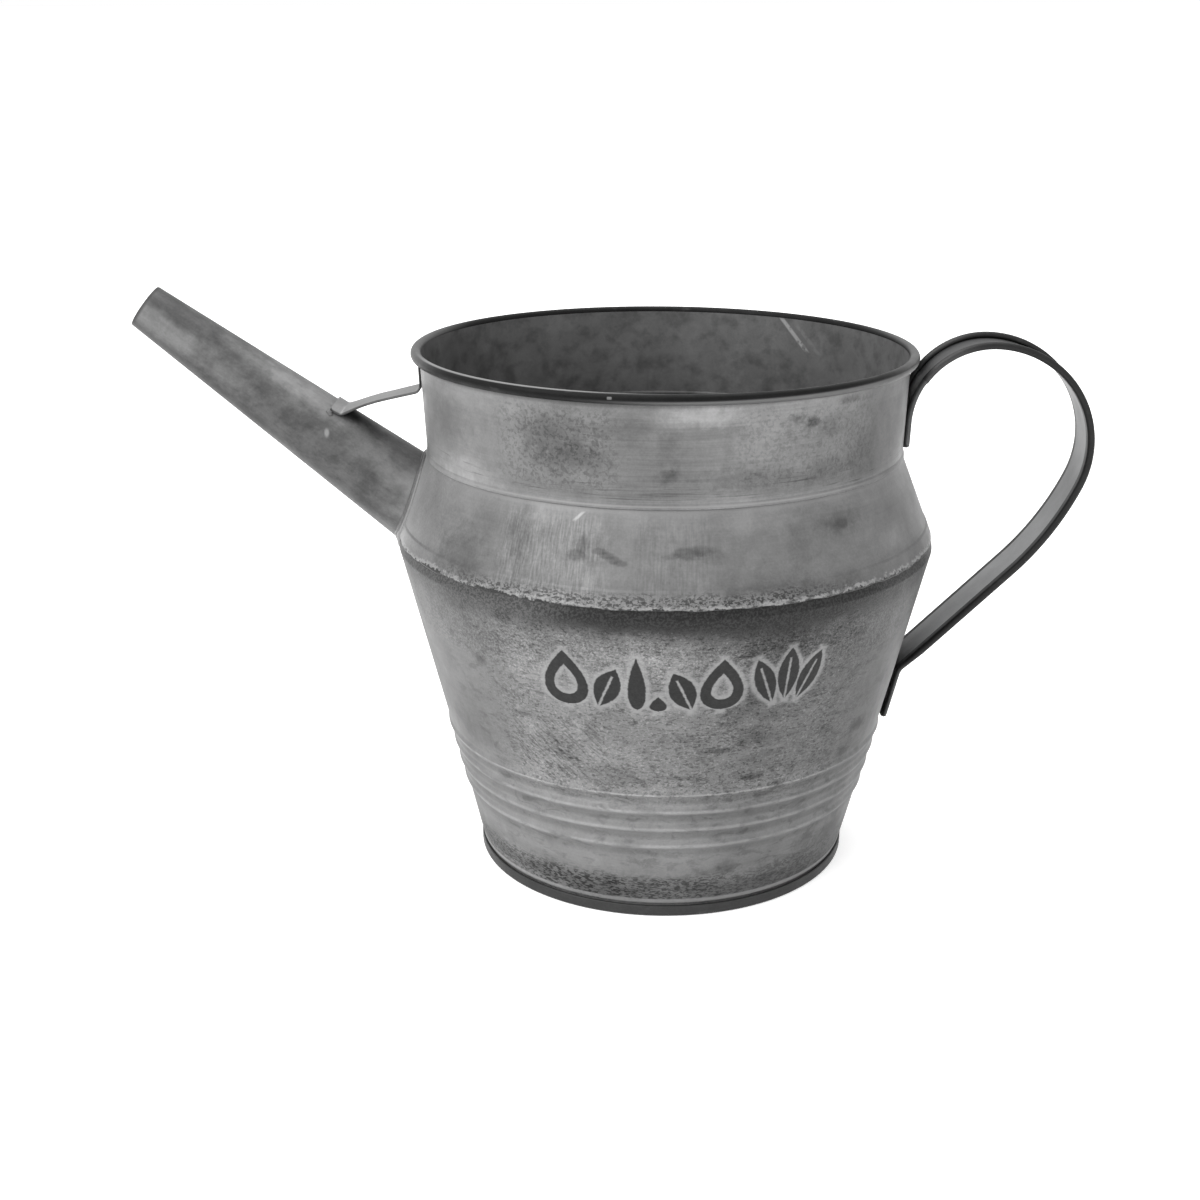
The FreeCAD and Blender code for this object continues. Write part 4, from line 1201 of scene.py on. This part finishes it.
def spout_brace(paints):
    """Strap that props the spout: a foot up the neck, a bend, and a saddle over the spout."""
    foot_top = highest("spout_brace")[2] - 0.1
    foot_x = -neck_r(177) - BRACE_GAUGE / 2 - 0.05
    bend_z = 172.3
    tail = on_spout(73.4, 0.0, BRACE_GAUGE / 2 + 0.04)
    saddle = on_spout(77.6, 0.0, BRACE_GAUGE / 2 + 0.04)
    line = rounded([(foot_x - 0.15, foot_top, 0), (foot_x, bend_z, 2.2), (saddle[0], saddle[2], 1.8),
                    (tail[0], tail[2], 0)])
    line = divided(line, 0.7)
    run = np.concatenate([[0], np.cumsum(np.linalg.norm(np.diff(line, axis=0), axis=1))])
    run /= run[-1]
    half = np.interp(run, (0, 0.2, 0.5, 0.7, 0.86, 1.0), (7.2, 7.4, 6.5, 6.8, 8.2, 8.8))
    half = half - 0.9 * np.clip((run - 0.96) / 0.04, 0, 1) ** 2
    half = half - 1.2 * np.clip((0.03 - run) / 0.03, 0, 1) ** 2
    columns = 21
    y = half[:, None] * np.linspace(-1, 1, columns)
    flat = np.stack([np.repeat(line[:, :1], columns, 1), y, np.repeat(line[:, 1:], columns, 1)], -1)
    # the foot follows the neck
    stand = neck_r(flat[..., 2]) + BRACE_GAUGE / 2 + 0.05
    hugging = flat.copy()
    hugging[..., 0] = -np.sqrt(stand ** 2 - y ** 2)
    foot = np.clip((flat[..., 2] - bend_z - 0.6) / 2.2, 0, 1)[..., None]
    grid = flat + (hugging - flat) * foot
    # the saddle follows the spout
    off = line - TIP[[0, 2]]
    along = off @ AXIS[[0, 2]]
    over = off @ UPSIDE[[0, 2]] - (TIP_R + SPOUT_TAPER * along)
    radius = TIP_R + SPOUT_TAPER * along + over
    turn = y / radius[:, None]
    wrapped = on_spout(along[:, None], turn, over[:, None])
    seat = np.clip((9.0 - over) / 8.4, 0, 1)[:, None, None]
    grid = grid + (wrapped - grid) * seat
    piece = thick_sheet("spout_brace_skin", grid, BRACE_GAUGE, [paints["strip"], paints["strip_edge"]])
    return belongs(piece, "spout_brace")


def brace_tacks(paints):
    """A flattened drop of solder at each end of the saddle."""
    points = []
    faces = []
    rings, spokes = 9, 24
    for side in (-1, 1):
        start = len(points)
        for i in range(rings):
            fall = i / (rings - 1)
            for j in range(spokes):
                turn = 2 * math.pi * j / spokes
                reach = fall * (1.0 + 0.12 * math.sin(3 * turn + side) + 0.08 * math.sin(5 * turn))
                along = 74.0 + 1.3 * reach * math.cos(turn)
                bend = side * (9.3 + 1.0 * reach * math.sin(turn)) / (TIP_R + SPOUT_TAPER * 73)
                points.append(on_spout(along, bend, 0.02 + 0.75 * math.sqrt(max(0, 1 - fall ** 2))))
        for row in lattice(rings, spokes, False, True):
            faces.append([start + k for k in row])
        faces.append([start + (rings - 1) * spokes + j for j in range(spokes)])
    piece = make_piece("brace_tacks_skin", np.array(points), faces, [paints["solder"]])
    return belongs(piece, "brace_tacks")


# ---------- handle ----------

def handle_line(step=1.0):
    """Points (x, z), headings and distances along the handle's centre line."""
    roll_y = HANDLE_HALF - HANDLE_ROLL
    touch = math.sqrt(neck_r(HANDLE_START_Z) ** 2 - roll_y ** 2)
    place = np.array([touch + 0.03 + HANDLE_ROLL, HANDLE_START_Z])
    heading = math.pi / 2 - math.atan(NECK_SLOPE)
    rows = [(*place, heading, 0.0)]
    gone = 0.0
    for run in HANDLE_RUNS:
        length = run[0] if len(run) == 1 else run[0] * math.radians(run[1])
        parts = max(4, math.ceil(length / step))
        start, first = place, heading
        for k in range(1, parts + 1):
            part = length * k / parts
            if len(run) == 1:
                place = start + part * np.array([math.cos(first), math.sin(first)])
            else:
                radius, sense = run[0], run[2]
                centre = start + sense * radius * np.array([-math.sin(first), math.cos(first)])
                heading = first + sense * part / radius
                place = centre - sense * radius * np.array([-math.sin(heading), math.cos(heading)])
            rows.append((*place, heading, gone + part))
        gone += length
    return np.array(rows)


WEB_HALF = 7.8                  # the web is lighter out to here


def strap_section(roll):
    """Half outline of web and curl, as the middle of the sheet: (across, outward)."""
    centre = HANDLE_HALF - HANDLE_ROLL
    half = HANDLE_SHEET / 2
    turns = np.radians(np.linspace(-90, 196, 22))
    curl = np.stack([centre + (HANDLE_ROLL - half) * np.cos(turns), (roll - half) * np.sin(turns)], -1)
    web = np.array([(share * centre, half - roll) for share in (0, 0.2, 0.4, 0.6, WEB_HALF / centre, 0.88)])
    return np.concatenate([web, curl])


def strap_outline(roll, narrowed=1.0):
    """Closed outline of the whole strap: (across, outward)."""
    middle = strap_section(roll)
    middle[:, 0] *= narrowed
    both = np.concatenate([(middle * (-1, 1))[::-1], middle[1:]])
    return sheet_outline(both + line_normals(both) * HANDLE_SHEET / 2, HANDLE_SHEET, -1)


def strap_paints(run):
    """Paint numbers of the strap's faces, ring by ring: 0 web, 1 roll, 2 the web's back."""
    outline = strap_outline(HANDLE_ROLL)
    places = (outline + np.roll(outline, -1, 0)) / 2
    web = np.abs(places[:, 0]) < WEB_HALF
    back = web & (places[:, 1] > -1.05)
    which = []
    for gone in run[:-1]:
        edge = 2 if gone < ROLL_START - 0.6 else 1
        which += list(np.where(back, 2, np.where(web, 0, edge)))
    return which


def handle_strap(paints):
    """Web on the finger side, with both edges curled outward over wire."""
    rows = handle_line()
    run = rows[:, 3]
    end = run[-1]
    places = (0, ROLL_START - 1.2, ROLL_START, end - ROLL_FLAT, end - 18, end)
    squash = np.interp(run, places, (1.12, 1.12, 1.3, 1.3, 0.9, 0.85))
    pinch = 2.2
    tail = np.clip(1 - run / pinch, 0, 1) + np.clip(1 - (end - run) / pinch, 0, 1)
    narrow = pinch * (1 - np.sqrt(np.clip(1 - tail ** 2, 0, 1)))
    sections = []
    for k in range(len(rows)):
        outline = strap_outline(squash[k], (HANDLE_HALF - narrow[k]) / HANDLE_HALF)
        x, z, heading = rows[k, :3]
        outward = np.array([-math.sin(heading), 0, math.cos(heading)])
        shifted = outline[:, 1] + (squash[k] - HANDLE_ROLL) * (-1 if k < len(rows) / 2 else 1)
        sections.append(np.array([x, 0, z]) + outline[:, :1] * ASIDE + shifted[:, None] * outward)
    points = np.stack(sections)
    count, columns = points.shape[:2]
    faces = lattice(count, columns, False, True) + end_caps(count, columns)
    coats = [paints["web"], paints["roll"], paints["web_back"]]
    piece = make_piece("handle_strap_skin", points, faces, coats, strap_paints(run) + [2, 1], crisp=50)
    return belongs(piece, "handle_strap")


def handle_wire(paints, name, node, side):
    """Wire inside one edge roll, from the neck foot's step to the heel."""
    rows = handle_line()
    run = rows[:, 3]
    rows = rows[(run > ROLL_START - 0.8) & (run < run[-1] - ROLL_FLAT)]
    turns = full_turn(14)
    radius = 0.7
    y = side * (HANDLE_HALF - HANDLE_ROLL)
    sections = []
    for x, z, heading, _ in rows:
        outward = np.array([-math.sin(heading), 0, math.cos(heading)])
        ring = radius * (np.cos(turns)[:, None] * outward + np.sin(turns)[:, None] * ASIDE)
        sections.append(np.array([x, y, z]) + ring)
    points = np.stack(sections)
    count, columns = points.shape[:2]
    faces = lattice(count, columns, False, True) + end_caps(count, columns)
    return belongs(make_piece(name, points, faces, [paints["roll"]]), node)


# ---------- stage ----------

EYE = (0.54, -631.41, 304.62)
EYE_DEGREES = (-2.132, 18.512, -0.227)      # yaw, pitch down and roll
LAMPS = (                       # name, place, size and watts, in metres
    ("key", (-1.1, -0.9, 1.4), 1.8, 32),
    ("fill", (1.3, -0.9, 0.9), 1.2, 4),
    ("top", (0.0, 0.3, 1.7), 1.2, 16),
)


def camera():
    """The viewpoint: in front, a little above the rim, looking down."""
    place = Vector(EYE) * MM
    yaw, pitch, roll = (math.radians(a) for a in EYE_DEGREES)
    ahead = Vector((math.sin(yaw) * math.cos(pitch), math.cos(yaw) * math.cos(pitch), -math.sin(pitch)))
    right = Vector((math.cos(yaw), -math.sin(yaw), 0))
    up = right.cross(ahead)
    right, up = math.cos(roll) * right + math.sin(roll) * up, math.cos(roll) * up - math.sin(roll) * right
    lens = bpy.data.cameras.new("camera")
    lens.sensor_width = 36
    lens.lens = 54.2
    lens.clip_start = 0.01
    lens.clip_end = 100
    eye = bpy.data.objects.new("camera", lens)
    turn = Matrix((right, up, -ahead)).transposed().to_4x4()
    eye.matrix_world = Matrix.Translation(place) @ turn
    bpy.context.scene.collection.objects.link(eye)
    bpy.context.scene.camera = eye


def light(name, place, size, power, aim=(0, 0, 0.1)):
    """Soft square lamp that faces aim."""
    lamp = bpy.data.lights.new(name, "AREA")
    lamp.shape = "SQUARE"
    lamp.size = size
    lamp.energy = power
    thing = bpy.data.objects.new(name, lamp)
    thing.location = place
    thing.rotation_euler = (Vector(aim) - Vector(place)).to_track_quat("-Z", "Y").to_euler()
    bpy.context.scene.collection.objects.link(thing)


def stage():
    """White surroundings, a pale floor and three soft lamps."""
    world = bpy.data.worlds.new("studio")
    world.use_nodes = True
    sky = world.node_tree.nodes["Background"]
    sky.inputs["Color"].default_value = (1, 1, 1, 1)
    sky.inputs["Strength"].default_value = 1.0
    bpy.context.scene.world = world
    bpy.context.scene.view_settings.view_transform = "Standard"
    half = 60000
    corners = [(-half, -half, 0), (half, -half, 0), (half, half, 0), (-half, half, 0)]
    paper = Brush("pale_floor")
    grey = 0.97 + 0.01 * paper.noise(400, 1, shift=90.0)
    paint = paper.finish(grey, 0.9, 0.0, metallic=0.0, glow=0.35, share=1.0)
    floor = make_piece("floor", np.array(corners, float) - (0, 0, 0.05), [[0, 1, 2, 3]], [paint])
    for lamp in LAMPS:
        light(*lamp)


def main():
    paints = make_paints()
    for build in (lower_shell, shoulder_shell, neck_collar, rim_wire, base_disc, base_hoop, spout_tube,
                  spout_flange, spout_solder, spout_brace, brace_tacks, handle_strap):
        build(paints)
    handle_wire(paints, "handle_wire_front_skin", "handle_wire_front", -1)
    handle_wire(paints, "handle_wire_back_skin", "handle_wire_back", 1)
    stage()
    camera()


main()
bpy.context.view_layer.update()
